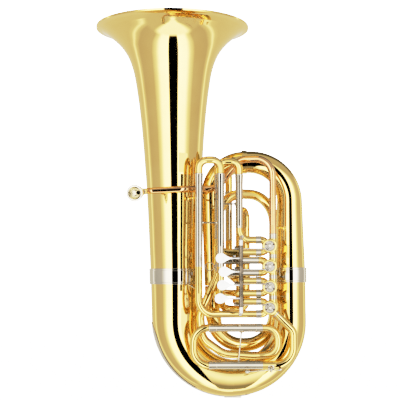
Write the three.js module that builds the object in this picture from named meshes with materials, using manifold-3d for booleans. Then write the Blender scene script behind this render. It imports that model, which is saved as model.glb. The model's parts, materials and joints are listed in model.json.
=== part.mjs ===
// A BBb tuba with four rotary valves, in millimetres. +Z is up with the bell upwards, the player
// sits towards -Y, and +X is the player's left. The origin lies under the middle of the
// instrument, at the lowest point of the bottom guard.
import * as THREE from "three";
import { mergeVertices } from "three/addons/utils/BufferGeometryUtils.js";
import Module from "manifold-3d";

const wasm = await Module();
wasm.setup();

// ---- Driving dimensions -------------------------------------------------------------------

const GAP = 0.3; // clearance between two pieces that meet
const WALL = 0.8; // drawn brass tube
const ARC_STEP = 30; // degrees between two rings of a bend
const WIDE_BEND = 85; // bends of at least this radius get finer steps
const WIDE_ARC_STEP = 22.5;

const BELL_TOP = 1012; // height of the rim
const BELL_X = -68.7; // bell axis at the ferrule
const BELL_LEAN = -7.7; // how far the rim sits off that axis
const RIM_RADIUS = 210;
const BELL_SIDES = 24;
const RIM_LAND = 6.5; // width of the flat on the rolled rim

const BOW_CENTRE_X = 88.7; // bottom bow
const BOW_CENTRE_Z = 208;
const BOW_RADIUS = 156;
const BOW_SIDES = 20;
const BOW_BOTTOM_R = 49.8; // tube radius at the lowest point
const JOINT_Z = 325; // height where the bell and the right branch meet the bottom bow
const RIGHT_X = 244.7; // right branch

const VALVE_X = 183;
const VALVE_Y = -78;
const VALVE_TOP_Z = 405;
const VALVE_PITCH = 54;
const CASING_R = 18.75;
const CASING_BORE = 16.4;
const CASING_HALF = 24;
const PORT_OFFSET = 16.5; // height of a valve's side ports above and below its centre
const KNUCKLE_X = 193;
const PORT_END_X = 155; // where the valve's stubs end and the loops begin

const TUBE_R = 10.1; // outside of the valve tubing and the outer slide legs
const TUBE_BORE = 9.5;
const LEG_R = 9.15; // inner slide leg
const LEG_BORE = 8.5;
const COLLAR_R = 10.7;
const COLLAR_LENGTH = 9;

const LEVER_X = 106; // lever axle
const LEVER_Y = -139;
const CRANK = [-14, 27]; // linkage pin from the lever axle, in X and Y
const PIN_REACH = 6.6; // stop arm pin from the rotor axis, in X and in Z
const ROD_SAG = 1.37; // half the rise of that pin over a quarter turn
const ROD_Y = LEVER_Y + CRANK[1];

// ---- Materials ----------------------------------------------------------------------------

const finish = (color, roughness) =>
  new THREE.MeshStandardMaterial({ color, roughness, metalness: 1 });
const BRASS = finish(0xd9a441, 0.18);
const GOLD_BRASS = finish(0xc98a4b, 0.2);
const NICKEL = finish(0xd8d4c8, 0.2);
const SILVER = finish(0xe4e6e8, 0.15);
const STEEL = finish(0xb9bcc0, 0.3);

// ---- Solids -------------------------------------------------------------------------------

const v3 = (x, y, z) => new THREE.Vector3(x, y, z);

// A closed three.js geometry as a solid for joining and cutting.
function solid(geometry) {
  const bare = geometry.clone();
  bare.deleteAttribute("normal");
  bare.deleteAttribute("uv");
  const merged = mergeVertices(bare, 1e-4);
  return new wasm.Manifold(
    new wasm.Mesh({
      numProp: 3,
      vertProperties: new Float32Array(merged.attributes.position.array),
      triVerts: new Uint32Array(merged.index.array),
    }),
  );
}

function geometryOf(body) {
  const { vertProperties, triVerts } = body.getMesh();
  const geometry = new THREE.BufferGeometry();
  geometry.setAttribute("position", new THREE.BufferAttribute(vertProperties, 3));
  geometry.setIndex(new THREE.BufferAttribute(triVerts, 1));
  geometry.computeVertexNormals();
  return geometry;
}

const unite = (first, ...rest) => rest.reduce((sum, body) => sum.add(body), first);
const cut = (first, ...rest) => rest.reduce((sum, body) => sum.subtract(body), first);

// A straight round bar between two points.
function bar(from, to, radius, sides = 12, endRadius = radius) {
  const axis = to.clone().sub(from);
  const geometry = new THREE.CylinderGeometry(endRadius, radius, axis.length(), sides);
  const turn = new THREE.Quaternion().setFromUnitVectors(v3(0, 1, 0), axis.clone().normalize());
  geometry.applyQuaternion(turn);
  const middle = from.clone().lerp(to, 0.5);
  geometry.translate(middle.x, middle.y, middle.z);
  return solid(geometry);
}

function block(x0, x1, y0, y1, z0, z1) {
  const geometry = new THREE.BoxGeometry(x1 - x0, y1 - y0, z1 - z0);
  geometry.translate((x0 + x1) / 2, (y0 + y1) / 2, (z0 + z1) / 2);
  return solid(geometry);
}

// A turned piece: profile points [radius, distance] about an axis that starts at a point.
function turned(profile, origin, axis, sides) {
  const points = profile.map(([radius, along]) => new THREE.Vector2(radius, along));
  const geometry = new THREE.LatheGeometry(points, sides);
  const turn = new THREE.Quaternion().setFromUnitVectors(v3(0, 1, 0), axis);
  geometry.applyQuaternion(turn);
  geometry.translate(origin.x, origin.y, origin.z);
  return solid(geometry);
}

// ---- Routes and pipes ---------------------------------------------------------------------

// Samples a route of corners [x, y, z, bend radius]: straight runs joined by arcs.
// Each sample is { centre, tangent, distance }.
function sampleRoute(corners) {
  const at = corners.map(([x, y, z]) => v3(x, y, z));
  const samples = [];
  let distance = 0;
  const push = (centre, tangent) => {
    const last = samples[samples.length - 1];
    if (last) distance += last.centre.distanceTo(centre);
    if (last && last.centre.distanceTo(centre) < 0.2) samples.pop();
    samples.push({ centre, tangent: tangent.clone().normalize(), distance });
  };
  let into = at[1].clone().sub(at[0]).normalize();
  push(at[0], into);
  for (let i = 1; i < at.length - 1; i++) {
    const out = at[i + 1].clone().sub(at[i]).normalize();
    const bend = corners[i][3];
    const angle = into.angleTo(out);
    const start = at[i].clone().addScaledVector(into, -bend * Math.tan(angle / 2));
    const inward = out.clone().addScaledVector(into, -out.dot(into)).normalize();
    const behind = start.clone().sub(samples[samples.length - 1].centre).dot(into);
    if (behind < -0.1) throw new Error("bend " + i + " does not fit: " + behind.toFixed(1));
    const stride = THREE.MathUtils.degToRad(bend < WIDE_BEND ? ARC_STEP : WIDE_ARC_STEP);
    const steps = Math.max(1, Math.ceil(angle / stride - 1e-6));
    for (let k = 0; k <= steps; k++) {
      const turn = (angle * k) / steps;
      const centre = start.clone().addScaledVector(into, bend * Math.sin(turn));
      centre.addScaledVector(inward, bend * (1 - Math.cos(turn)));
      const tangent = into.clone().multiplyScalar(Math.cos(turn));
      push(centre, tangent.addScaledVector(inward, Math.sin(turn)));
    }
    into = out;
  }
  const end = at[at.length - 1];
  const left = end.clone().sub(samples[samples.length - 1].centre).dot(into);
  if (left < -0.1) throw new Error("the last bend does not fit: " + left.toFixed(1));
  push(end, into);
  return samples;
}

// Adds samples to a route at the given distances, on its straight runs and chords.
function withStations(samples, distances) {
  const all = samples.slice();
  for (const distance of distances) {
    if (all.some((s) => Math.abs(s.distance - distance) < 0.05)) continue;
    const after = all.findIndex((s) => s.distance > distance);
    if (after < 1) continue;
    const [a, b] = [all[after - 1], all[after]];
    const share = (distance - a.distance) / (b.distance - a.distance);
    all.splice(after, 0, {
      centre: a.centre.clone().lerp(b.centre, share),
      tangent: a.tangent.clone().lerp(b.tangent, share).normalize(),
      distance,
    });
  }
  return all;
}

function lookUp(profile, distance) {
  const next = profile.findIndex(([d]) => d >= distance - 1e-6);
  if (next <= 0) return profile[next === 0 ? 0 : profile.length - 1][1];
  const [[d0, r0], [d1, r1]] = [profile[next - 1], profile[next]];
  return r0 + ((r1 - r0) * (distance - d0)) / (d1 - d0);
}

// Skins rings { centre, tangent, radius, bore }. Without a bore the ends are closed discs.
function skin(rings, sides, side = v3(0, 1, 0)) {
  const positions = [];
  const index = [];
  let u = side.clone();
  const loops = { radius: [], bore: [] };
  const hollow = rings[0].bore > 0;
  const quad = (a, b, c, d) => index.push(a, b, c, a, c, d);
  for (const ring of rings) {
    u.addScaledVector(ring.tangent, -u.dot(ring.tangent)).normalize();
    const v = ring.tangent.clone().cross(u);
    for (const kind of hollow ? ["radius", "bore"] : ["radius"]) {
      loops[kind].push(positions.length / 3);
      for (let k = 0; k < sides; k++) {
        const angle = (2 * Math.PI * k) / sides;
        const p = ring.centre.clone().addScaledVector(u, ring[kind] * Math.cos(angle));
        p.addScaledVector(v, ring[kind] * Math.sin(angle));
        positions.push(p.x, p.y, p.z);
      }
    }
  }
  const last = rings.length - 1;
  for (let k = 0; k < sides; k++) {
    const n = (k + 1) % sides;
    for (let i = 0; i < last; i++) {
      const [a, b] = [loops.radius[i], loops.radius[i + 1]];
      quad(a + k, a + n, b + n, b + k);
      if (!hollow) continue;
      const [c, d] = [loops.bore[i], loops.bore[i + 1]];
      quad(c + k, d + k, d + n, c + n);
    }
    const [o0, o1] = [loops.radius[0], loops.radius[last]];
    if (hollow) {
      const [i0, i1] = [loops.bore[0], loops.bore[last]];
      quad(o0 + k, i0 + k, i0 + n, o0 + n);
      quad(o1 + k, o1 + n, i1 + n, i1 + k);
    } else if (k > 0 && n > 0) {
      index.push(o0, o0 + n, o0 + k);
      index.push(o1, o1 + k, o1 + n);
    }
  }
  const geometry = new THREE.BufferGeometry();
  geometry.setAttribute("position", new THREE.Float32BufferAttribute(positions, 3));
  geometry.setIndex(index);
  geometry.computeVertexNormals();
  return geometry;
}

// A pipe along a route. The profile lists [distance, outside radius]; negative distances count
// back from the far end, and a share of the length may be given as a string such as "50%".
function pipe(corners, profile, { sides = 8, wall = WALL, bore = null, closed = false } = {}) {
  const route = sampleRoute(corners);
  const total = route[route.length - 1].distance;
  const placed = profile.map(([where, radius]) => {
    if (typeof where === "string") return [(parseFloat(where) / 100) * total, radius];
    return [where < 0 ? total + where : where, radius];
  });
  const rings = withStations(
    route,
    placed.map(([distance]) => distance),
  );
  for (const ring of rings) {
    ring.radius = lookUp(placed, ring.distance);
    ring.bore = closed ? 0 : (bore ?? ring.radius - wall);
  }
  return skin(rings, sides);
}

const even = (radius) => [[0, radius]];
const taper = (from, to) => [
  [0, from],
  ["100%", to],
];

// ---- The instrument -----------------------------------------------------------------------

const tuba = new THREE.Group();

function namedMesh(name, shape, material) {
  const mesh = new THREE.Mesh(shape.isBufferGeometry ? shape : geometryOf(shape), material);
  mesh.name = name;
  return mesh;
}

const add = (name, shape, material) => tuba.add(namedMesh(name, shape, material));

// ---- Bell and the wide outer branches -----------------------------------------------------

const bellAxisX = (z) =>
  BELL_X + (BELL_LEAN * Math.max(0, z - JOINT_Z)) / (BELL_TOP - JOINT_Z);

// Outside radius of the flare at each height, below the rolled rim.
const FLARE = [
  [JOINT_Z, 65.6],
  [451, 69.8],
  [558, 74.4],
  [644, 80],
  [713, 85.2],
  [783, 92.2],
  [842, 100.1],
  [884, 107.5],
  [918.5, 118.4],
  [944.6, 132],
  [968, 151],
  [990, 176],
  [1005, 200],
];

// Level rings around the leaning bell axis.
function flareRings(points, wall) {
  return points.map(([z, radius, bore]) => ({
    centre: v3(bellAxisX(z), 0, z),
    tangent: v3(0, 0, 1),
    radius,
    bore: bore ?? radius - wall,
  }));
}

function makeBell() {
  const bead = [
    [1006.2, RIM_RADIUS, 202],
    [BELL_TOP, RIM_RADIUS, RIM_RADIUS - RIM_LAND],
  ];
  add("bell", skin(flareRings([...FLARE, ...bead], 0.9), BELL_SIDES), BRASS);
  const sleeve = [JOINT_Z - 21, JOINT_Z + 21].map((z) => {
    const radius = lookUp(FLARE, z) + 2.6;
    return [z, radius, radius - 2];
  });
  add("bell_ferrule", skin(flareRings(sleeve, 2), BELL_SIDES), NICKEL);
}

const BOW_LEFT_X = BOW_CENTRE_X - BOW_RADIUS;
const BOW_FLOOR_Z = BOW_CENTRE_Z - BOW_RADIUS;

// Radii of the bottom bow along its route, from the bell joint to the right joint.
const BOW_PROFILE = [
  [0, 65.6],
  ["16.2%", 62.3],
  ["50%", BOW_BOTTOM_R],
  ["83.7%", 42.5],
  ["100%", 41.9],
];
const BOW_ROUTE = [
  [BELL_X, 0, JOINT_Z - 1, 0],
  [BOW_LEFT_X, 0, BOW_FLOOR_Z, BOW_RADIUS],
  [RIGHT_X, 0, BOW_FLOOR_Z, BOW_RADIUS],
  [RIGHT_X, 0, JOINT_Z + 4, 0],
];

function grown(profile, extra) {
  return profile.map(([where, radius]) => [where, radius + extra]);
}

// The guard wraps the outer side of the bottom bow and carries the flat foot it rests on.
function makeBottomBow() {
  add("bottom_bow", pipe(BOW_ROUTE, BOW_PROFILE, { sides: BOW_SIDES }), BRASS);
  const clearance = solid(pipe(BOW_ROUTE, grown(BOW_PROFILE, GAP), { sides: BOW_SIDES, closed: true }));
  const shell = solid(pipe(BOW_ROUTE, grown(BOW_PROFILE, 1.6), { sides: BOW_SIDES, closed: true }));
  // The strip narrows from its upper end towards the foot.
  const [lowReach, highReach] = [25, 38];
  const outline = new THREE.Shape([
    new THREE.Vector2(-lowReach, -20),
    new THREE.Vector2(lowReach, -20),
    new THREE.Vector2(highReach, BOW_CENTRE_Z - 4),
    new THREE.Vector2(-highReach, BOW_CENTRE_Z - 4),
  ]);
  const wedge = new THREE.ExtrudeGeometry(outline, { depth: 295, bevelEnabled: false });
  const alongX = new THREE.Matrix4().makeBasis(v3(0, 1, 0), v3(0, 0, 1), v3(1, 0, 0));
  wedge.applyMatrix4(alongX.setPosition(-160, 0, 0));
  const strip = solid(wedge);
  // The inner half of the bend is cut away by a disc about the bend's centre.
  const disc = bar(
    v3(BOW_CENTRE_X, -200, BOW_CENTRE_Z),
    v3(BOW_CENTRE_X, 200, BOW_CENTRE_Z),
    BOW_RADIUS + 26,
    48,
  );
  const foot = block(BOW_CENTRE_X - 24, BOW_CENTRE_X + 24, -13, 13, 0, 8);
  const guard = cut(unite(shell.intersect(strip), foot), clearance, disc);
  add("bottom_bow_guard", guard, NICKEL);
}

const BRANCH_TOP_Z = 637; // centre line of the top bow
const BRANCH_BEND = 108;
const COLLAR_X = 121;
const BRANCH_LEFT_X = 28;
const SECOND_BOW_X = 34;

function makeOuterBranch() {
  add(
    "right_branch",
    pipe(
      [
        [RIGHT_X, 0, JOINT_Z + 4 + GAP, 0],
        [RIGHT_X, 0, BRANCH_TOP_Z, BRANCH_BEND],
        [COLLAR_X + GAP, 0, BRANCH_TOP_Z, 0],
      ],
      [
        [0, 41.8],
        ["52%", 34.5],
        ["100%", 29.6],
      ],
      { sides: 16 },
    ),
    BRASS,
  );
  add(
    "right_ferrule",
    pipe(
      [
        [RIGHT_X, 0, JOINT_Z - 16, 0],
        [RIGHT_X, 0, JOINT_Z + 24, 0],
      ],
      even(44.6),
      { sides: BOW_SIDES, bore: 42.9 },
    ),
    NICKEL,
  );
  add(
    "top_bow_collar",
    pipe(
      [
        [COLLAR_X - 7, 0, BRANCH_TOP_Z, 0],
        [COLLAR_X + 7, 0, BRANCH_TOP_Z, 0],
      ],
      even(32),
      { sides: 16, bore: 31 },
    ),
    BRASS,
  );
}

const LEFT_LEG_END_Z = 300;
const BACK_LEG = { x: 206, y: 50 }; // leg of the inner bottom bow at the right
const FRONT_LEG = { x: 47, y: -38 }; // leg of the inner top bow at the left
const INNER_JOINT_Z = 345;

function makeInnerBranches() {
  add(
    "second_branch",
    pipe(
      [
        [COLLAR_X - GAP, 0, BRANCH_TOP_Z, 0],
        [BRANCH_LEFT_X, 0, BRANCH_TOP_Z, 90],
        [SECOND_BOW_X, 0, LEFT_LEG_END_Z, 0],
      ],
      [
        [0, 29.5],
        ["32%", 26],
        ["100%", 21.5],
      ],
      { sides: 12 },
    ),
    BRASS,
  );
  add(
    "inner_bottom_bow",
    pipe(
      [
        [SECOND_BOW_X, 0, LEFT_LEG_END_Z - 1, 0],
        [SECOND_BOW_X, 0, 139, 84.5],
        [BACK_LEG.x, BACK_LEG.y, 139, 84.5],
        [BACK_LEG.x, BACK_LEG.y, INNER_JOINT_Z, 0],
      ],
      [
        [0, 21.5],
        ["20%", 20],
        ["75%", 17],
        ["100%", 15.4],
      ],
      { sides: 12 },
    ),
    BRASS,
  );
  add(
    "inner_top_bow",
    pipe(
      [
        [BACK_LEG.x, BACK_LEG.y, INNER_JOINT_Z + GAP, 0],
        [BACK_LEG.x, BACK_LEG.y, 549.4, 79.4],
        [FRONT_LEG.x, FRONT_LEG.y, 549.4, 79.4],
        [FRONT_LEG.x, FRONT_LEG.y, 430, 0],
      ],
      taper(15.4, 12.6),
      { sides: 12 },
    ),
    BRASS,
  );
}

// ---- First branch, tuning slide and the outlet of the valves --------------------------------

const TUNING_TOP_Z = 190;
const TUNING_LOW_Z = 93;
const SLEEVE_LEFT_X = 23;
const SLEEVE_RIGHT_X = 165;
const TUNING_BEND = 40;

function makeTuningLoop() {
  add(
    "first_branch",
    pipe(
      [
        [FRONT_LEG.x, FRONT_LEG.y, 430 - GAP, 0],
        [FRONT_LEG.x, FRONT_LEG.y, 328.6, 50],
        [0, -43, 222, 45],
        [6, -46, 160, 40],
        [62, -45, 120, 60],
        [150, -45, 114, 60],
        [205, VALVE_Y, 124, 30],
        [205, VALVE_Y, TUNING_TOP_Z, 32],
        [SLEEVE_RIGHT_X + GAP, VALVE_Y, TUNING_TOP_Z, 0],
      ],
      taper(12.5, TUBE_R),
    ),
    BRASS,
  );
  const bead = [
    [0, COLLAR_R + 0.6],
    [COLLAR_LENGTH, COLLAR_R + 0.6],
    [COLLAR_LENGTH + 0.5, COLLAR_R],
  ];
  add(
    "tuning_slide_upper_sleeve",
    pipe(
      [
        [SLEEVE_LEFT_X, VALVE_Y, TUNING_TOP_Z, 0],
        [SLEEVE_RIGHT_X, VALVE_Y, TUNING_TOP_Z, 0],
      ],
      bead,
      { bore: TUBE_BORE },
    ),
    NICKEL,
  );
  const lastValveZ = VALVE_TOP_Z - 3 * VALVE_PITCH;
  add(
    "tuning_slide_lower_tube",
    pipe(
      [
        [SLEEVE_LEFT_X, VALVE_Y, TUNING_LOW_Z, 0],
        [246, VALVE_Y, TUNING_LOW_Z, 46],
        [246, VALVE_Y, lastValveZ - 63, 25],
        [202, VALVE_Y, lastValveZ - 19, 0],
      ],
      bead,
      { bore: TUBE_BORE },
    ),
    BRASS,
  );
  add(
    "main_tuning_slide",
    slide([
      [SLEEVE_LEFT_X + 100, VALVE_Y, TUNING_TOP_Z, 0],
      [-17, VALVE_Y, TUNING_TOP_Z, TUNING_BEND],
      [-17, VALVE_Y, TUNING_LOW_Z, TUNING_BEND],
      [SLEEVE_LEFT_X + 100, VALVE_Y, TUNING_LOW_Z, 0],
    ], 100),
    BRASS,
  );
}

// A moving slide: two legs that run inside their sleeves for a given length, and a wider crook.
function slide(corners, inside) {
  const begin = inside + 0.5;
  const half = [
    [0, LEG_R],
    [begin, LEG_R],
    [begin + 0.5, TUBE_R],
  ];
  const mirrored = half
    .slice(1)
    .reverse()
    .map(([distance, radius]) => [-distance, radius]);
  return pipe(corners, [...half, ...mirrored, ["100%", LEG_R]], { bore: LEG_BORE });
}

// ---- Mouthpiece and leadpipe ----------------------------------------------------------------

const MOUTH_RIM = v3(-167, -195, 536);
const MOUTH_AXIS = v3(0.25, 0.958, 0.134).normalize(); // from the rim into the leadpipe
const RECEIVER_START = 62; // distances from the rim along that axis
const RECEIVER_END = 92;
const MOUTH_BEND = 108;
const alongMouth = (distance) => MOUTH_RIM.clone().addScaledVector(MOUTH_AXIS, distance);

function makeMouthpiece() {
  const profile = [
    [16.6, 0.6],
    [19, 0],
    [21.5, 2.5],
    [20.2, 6],
    [18.6, 20],
    [14, 33],
    [8.6, 40],
    [6.2, 46],
    [7.3, 54],
    [6.7, 90],
    [5.6, 90],
    [4.2, 40],
    [4, 32],
    [10, 25],
    [15, 12],
    [16.6, 0.6],
  ];
  add("mouthpiece", turned(profile, MOUTH_RIM, MOUTH_AXIS, 12), SILVER);
  const length = RECEIVER_END - RECEIVER_START;
  const receiver = [
    [7.5, 0],
    [9.6, 0],
    [9.6, 5],
    [8.8, 6],
    [8.3, length],
    [7.1, length],
    [7.5, 0],
  ];
  const start = alongMouth(RECEIVER_START);
  add("mouthpiece_receiver", turned(receiver, start, MOUTH_AXIS, 12), NICKEL);
}

const KNUCKLE_TOP_Z = VALVE_TOP_Z + 33; // top end of the first valve's inlet

function makeLeadpipe() {
  const start = alongMouth(RECEIVER_END + GAP);
  const bend = alongMouth(MOUTH_BEND);
  const route = [
    [start.x, start.y, start.z, 0],
    [bend.x, bend.y, bend.z, 20],
    [-38, -90, 556, 45],
    [4, -47, 559, 34],
    [46, -42, 562, 34],
    [108, -46, BRANCH_TOP_Z + 2, 34],
    [KNUCKLE_X, VALVE_Y, BRANCH_TOP_Z + 2, 48],
    [KNUCKLE_X, VALVE_Y, KNUCKLE_TOP_Z + GAP, 0],
  ];
  const profile = [
    [0, 7.4],
    ["12%", 8.5],
    ["100%", 9.8],
  ];
  add("leadpipe", pipe(route, profile), GOLD_BRASS);
}

// ---- Valve slides -----------------------------------------------------------------------------

const SLIDE_TOP_Z = 596; // where the upright slides part from their sleeves

const SLIDE_1 = { left: 47.5, right: 104, y: VALVE_Y, crown: 631 };
const SLIDE_3 = { left: 38, right: 80, y: 50, crown: 627 };
const SLIDE_4 = { left: -3, right: 54, y: -102, crown: 632 };
const SLIDE_3_SLEEVE_Z = 560;

const valveZ = (number) => VALVE_TOP_Z - (number - 1) * VALVE_PITCH;

function uprightSlide(name, { left, right, y, crown }, sleeveTop, inside, bend) {
  const legs = [
    [left, y, sleeveTop - inside, 0],
    [left, y, crown, bend],
    [right, y, crown, bend],
    [right, y, sleeveTop - inside, 0],
  ];
  add(name, slide(legs, inside), BRASS);
}

// An outer tube: its mouth carries a collar, then it runs on to the valve.
function sleeve(name, corners, material = NICKEL) {
  const profile = [
    [0, COLLAR_R],
    [COLLAR_LENGTH, COLLAR_R],
    [COLLAR_LENGTH + 0.5, TUBE_R],
  ];
  add(name, pipe(corners, profile, { bore: TUBE_BORE }), material);
}

function makeSlideOne() {
  const { left, right, y } = SLIDE_1;
  const upper = valveZ(1) + PORT_OFFSET;
  const lower = valveZ(1) - PORT_OFFSET;
  sleeve("slide_1_right_tube", [
    [right, y, SLIDE_TOP_Z, 0],
    [right, y, upper, 27],
    [PORT_END_X - GAP, y, upper, 0],
  ]);
  sleeve("slide_1_left_tube", [
    [left, y, SLIDE_TOP_Z, 0],
    [left, y, lower, 27],
    [PORT_END_X - GAP, y, lower, 0],
  ]);
  uprightSlide("slide_1", SLIDE_1, SLIDE_TOP_Z, 130, 24);
}

const SLIDE_2_MOUTH_X = 84;
const SLIDE_2_CROWN_X = 48;

function makeSlideTwo() {
  const upper = valveZ(2) + PORT_OFFSET;
  const lower = valveZ(2) - PORT_OFFSET;
  for (const [name, z] of [
    ["slide_2_upper_tube", upper],
    ["slide_2_lower_tube", lower],
  ]) {
    sleeve(name, [
      [SLIDE_2_MOUTH_X, VALVE_Y, z, 0],
      [PORT_END_X - GAP, VALVE_Y, z, 0],
    ]);
  }
  const inside = 60;
  const crook = slide(
    [
      [SLIDE_2_MOUTH_X + inside, VALVE_Y, upper, 0],
      [SLIDE_2_CROWN_X, VALVE_Y, upper, 16],
      [SLIDE_2_CROWN_X, VALVE_Y, lower, 16],
      [SLIDE_2_MOUTH_X + inside, VALVE_Y, lower, 0],
    ],
    inside,
  );
  const ringX = SLIDE_2_CROWN_X - 22;
  const hoop = new THREE.TorusGeometry(11, 1.5, 6, 12);
  hoop.rotateX(Math.PI / 2);
  hoop.translate(ringX, VALVE_Y, valveZ(2));
  const lug = bar(
    v3(ringX + 10.5, VALVE_Y, valveZ(2)),
    v3(SLIDE_2_CROWN_X - LEG_R, VALVE_Y, valveZ(2)),
    2.6,
    8,
  );
  add("slide_2", unite(solid(crook), solid(hoop), lug), NICKEL);
}

function makeSlideThree() {
  const { left, right, y } = SLIDE_3;
  const upper = valveZ(3) + PORT_OFFSET;
  const lower = valveZ(3) - PORT_OFFSET;
  sleeve("slide_3_right_tube", [
    [right, y, SLIDE_3_SLEEVE_Z, 0],
    [right, y, upper + 16, 24],
    [98, VALVE_Y, upper, 22],
    [PORT_END_X - GAP, VALVE_Y, upper, 0],
  ]);
  sleeve("slide_3_left_tube", [
    [left, y, SLIDE_3_SLEEVE_Z, 0],
    [left, y, 345, 40],
    [60, y - 4, lower, 24],
    [97, VALVE_Y, lower, 22],
    [PORT_END_X - GAP, VALVE_Y, lower, 0],
  ]);
  uprightSlide("slide_3", SLIDE_3, SLIDE_3_SLEEVE_Z, 130, 21);
}

function makeSlideFour() {
  const { left, right, y } = SLIDE_4;
  const upper = valveZ(4) + PORT_OFFSET;
  const lower = valveZ(4) - PORT_OFFSET;
  sleeve("slide_4_left_tube", [
    [left, y, SLIDE_TOP_Z, 0],
    [left, y, lower, 38],
    [125, VALVE_Y, lower, 60],
    [PORT_END_X - GAP, VALVE_Y, lower, 0],
  ]);
  sleeve("slide_4_right_tube", [
    [right, y, SLIDE_TOP_Z, 0],
    [right, y, 286, 28],
    [60, -26, 240, 24],
    [125, -22, 234, 24],
    [125, -22, 505, 27],
    [108, 30, 505, 27],
    [108, 30, upper, 22],
    [92, VALVE_Y, upper, 22],
    [PORT_END_X - GAP, VALVE_Y, upper, 0],
  ]);
  uprightSlide("slide_4", SLIDE_4, SLIDE_TOP_Z, 130, 24);
}

// ---- Rotary valves ----------------------------------------------------------------------------

const PORT_BORE = 8.6;
const KNUCKLE_R = 9.8;
const ROTOR_R = 15.6;
const PLATE_FRONT = VALVE_Y - CASING_HALF + 0.4; // front bearing plate
const PLATE_BACK = PLATE_FRONT + 3.7;
const ARM_FRONT = -106.2; // stop arm
const ARM_BACK = -103.4;
const STOP_REACH = 11; // bumper posts from the rotor axis
const STOP_ANGLE = 22; // degrees above the horizontal

// A closed rod along a route in the valve plane, given as [x, z, bend radius].
function portRod(corners, radius) {
  const route = corners.map(([x, z, bend]) => [x, VALVE_Y, z, bend]);
  return solid(pipe(route, even(radius), { sides: 6, closed: true }));
}

// Side ports leave at 45 degrees and turn level; the last valve's outlet runs on at 45 degrees.
function valvePorts(number) {
  const z = valveZ(number);
  const side = (way, reach) => [
    [VALVE_X - 6, z + way * 6, 0],
    [VALVE_X - PORT_OFFSET, z + way * PORT_OFFSET, 14],
    [PORT_END_X - reach, z + way * PORT_OFFSET, 0],
  ];
  const upright = (from, to) => [
    [KNUCKLE_X, from, 0],
    [KNUCKLE_X, to, 0],
  ];
  const top = number === 1 ? KNUCKLE_TOP_Z : z + VALVE_PITCH / 2;
  const outlet = (reach) => [
    [VALVE_X + 6, z - 6, 0],
    [VALVE_X + 18.7 + reach, z - 18.7 - reach, 0],
  ];
  const stubs = [portRod(side(1, 0), TUBE_R), portRod(side(-1, 0), TUBE_R)];
  const bores = [portRod(side(1, 2), PORT_BORE), portRod(side(-1, 2), PORT_BORE)];
  if (number === 1) stubs.push(portRod(upright(z + 6, top), KNUCKLE_R));
  bores.push(portRod(upright(z + 6, top + 2), PORT_BORE));
  if (number < 4) {
    stubs.push(portRod(upright(z - VALVE_PITCH + 8, z - 6), KNUCKLE_R));
    bores.push(portRod(upright(z - VALVE_PITCH, z - 6), PORT_BORE));
  } else {
    stubs.push(portRod(outlet(0), TUBE_R));
    bores.push(portRod(outlet(2), PORT_BORE));
  }
  return { stubs, bores };
}

const acrossValve = (z, from, to, radius, sides = 16) =>
  bar(v3(VALVE_X, from, z), v3(VALVE_X, to, z), radius, sides);

function makeCasing(number) {
  const z = valveZ(number);
  const front = VALVE_Y - CASING_HALF;
  const back = VALVE_Y + CASING_HALF;
  const { stubs, bores } = valvePorts(number);
  const outside = unite(acrossValve(z, front, back, CASING_R), ...stubs);
  const bore = acrossValve(z, front - 1, back + 1, CASING_BORE);
  const below = acrossValve(z - VALVE_PITCH, front - 1, back + 1, CASING_R + GAP);
  add("valve_" + number + "_casing", cut(outside, bore, ...bores, below), BRASS);
}

function makeRotor(number) {
  const z = valveZ(number);
  const down = number <= 2 ? -1 : 1; // which way the stop arm's pin lies
  const pin = { x: VALVE_X - PIN_REACH, z: z + down * PIN_REACH };
  const barrel = acrossValve(z, PLATE_BACK + 0.4, VALVE_Y + CASING_HALF - 1, ROTOR_R);
  const channel = (way) =>
    portRod(
      [
        [VALVE_X + way * 18, z + 18, 0],
        [VALVE_X + way * 9, z, 12],
        [VALVE_X + way * 18, z - 18, 0],
      ],
      7.2,
    );
  const spindle = acrossValve(z, -107, PLATE_BACK + 2, 3.2, 12);
  const plate = new THREE.BoxGeometry(21.4, ARM_BACK - ARM_FRONT, 4.4);
  plate.translate(-0.9, 0, 0);
  plate.rotateY((down * Math.PI) / 4);
  plate.translate(VALVE_X, (ARM_FRONT + ARM_BACK) / 2, z);
  const hub = acrossValve(z, ARM_FRONT, ARM_BACK, 5, 12);
  const crankPin = bar(v3(pin.x, -117.5, pin.z), v3(pin.x, -104, pin.z), 1.4, 8);
  const rotor = unite(cut(barrel, channel(1), channel(-1)), spindle, solid(plate), hub, crankPin);
  add("valve_" + number + "_rotor", rotor, STEEL);
}

function makePlates(number) {
  const z = valveZ(number);
  const up = number <= 2 ? 1 : -1; // bumpers stand on the side away from the pin
  const disc = acrossValve(z, PLATE_FRONT, PLATE_BACK, CASING_BORE - GAP);
  const hole = acrossValve(z, PLATE_FRONT - 1, PLATE_BACK + 1, 3.6, 12);
  const bumpers = [STOP_ANGLE, 180 - STOP_ANGLE].map((degrees) => {
    const angle = THREE.MathUtils.degToRad(degrees);
    const x = VALVE_X + STOP_REACH * Math.cos(angle);
    const height = z + up * STOP_REACH * Math.sin(angle);
    return bar(v3(x, -106, height), v3(x, PLATE_FRONT + 1, height), 2, 8);
  });
  const plate = unite(cut(disc, hole), ...bumpers);
  add("valve_" + number + "_bearing_plate", plate, NICKEL);
  const back = VALVE_Y + CASING_HALF + GAP;
  const cap = [
    [0, 0],
    [17.8, 0],
    [17.8, 3.2],
    [15.6, 4.6],
    [0, 4.6],
  ];
  add("valve_" + number + "_cap", turned(cap, v3(VALVE_X, back, z), v3(0, 1, 0), 12), BRASS);
}

// ---- Levers and linkage ------------------------------------------------------------------------

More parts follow.
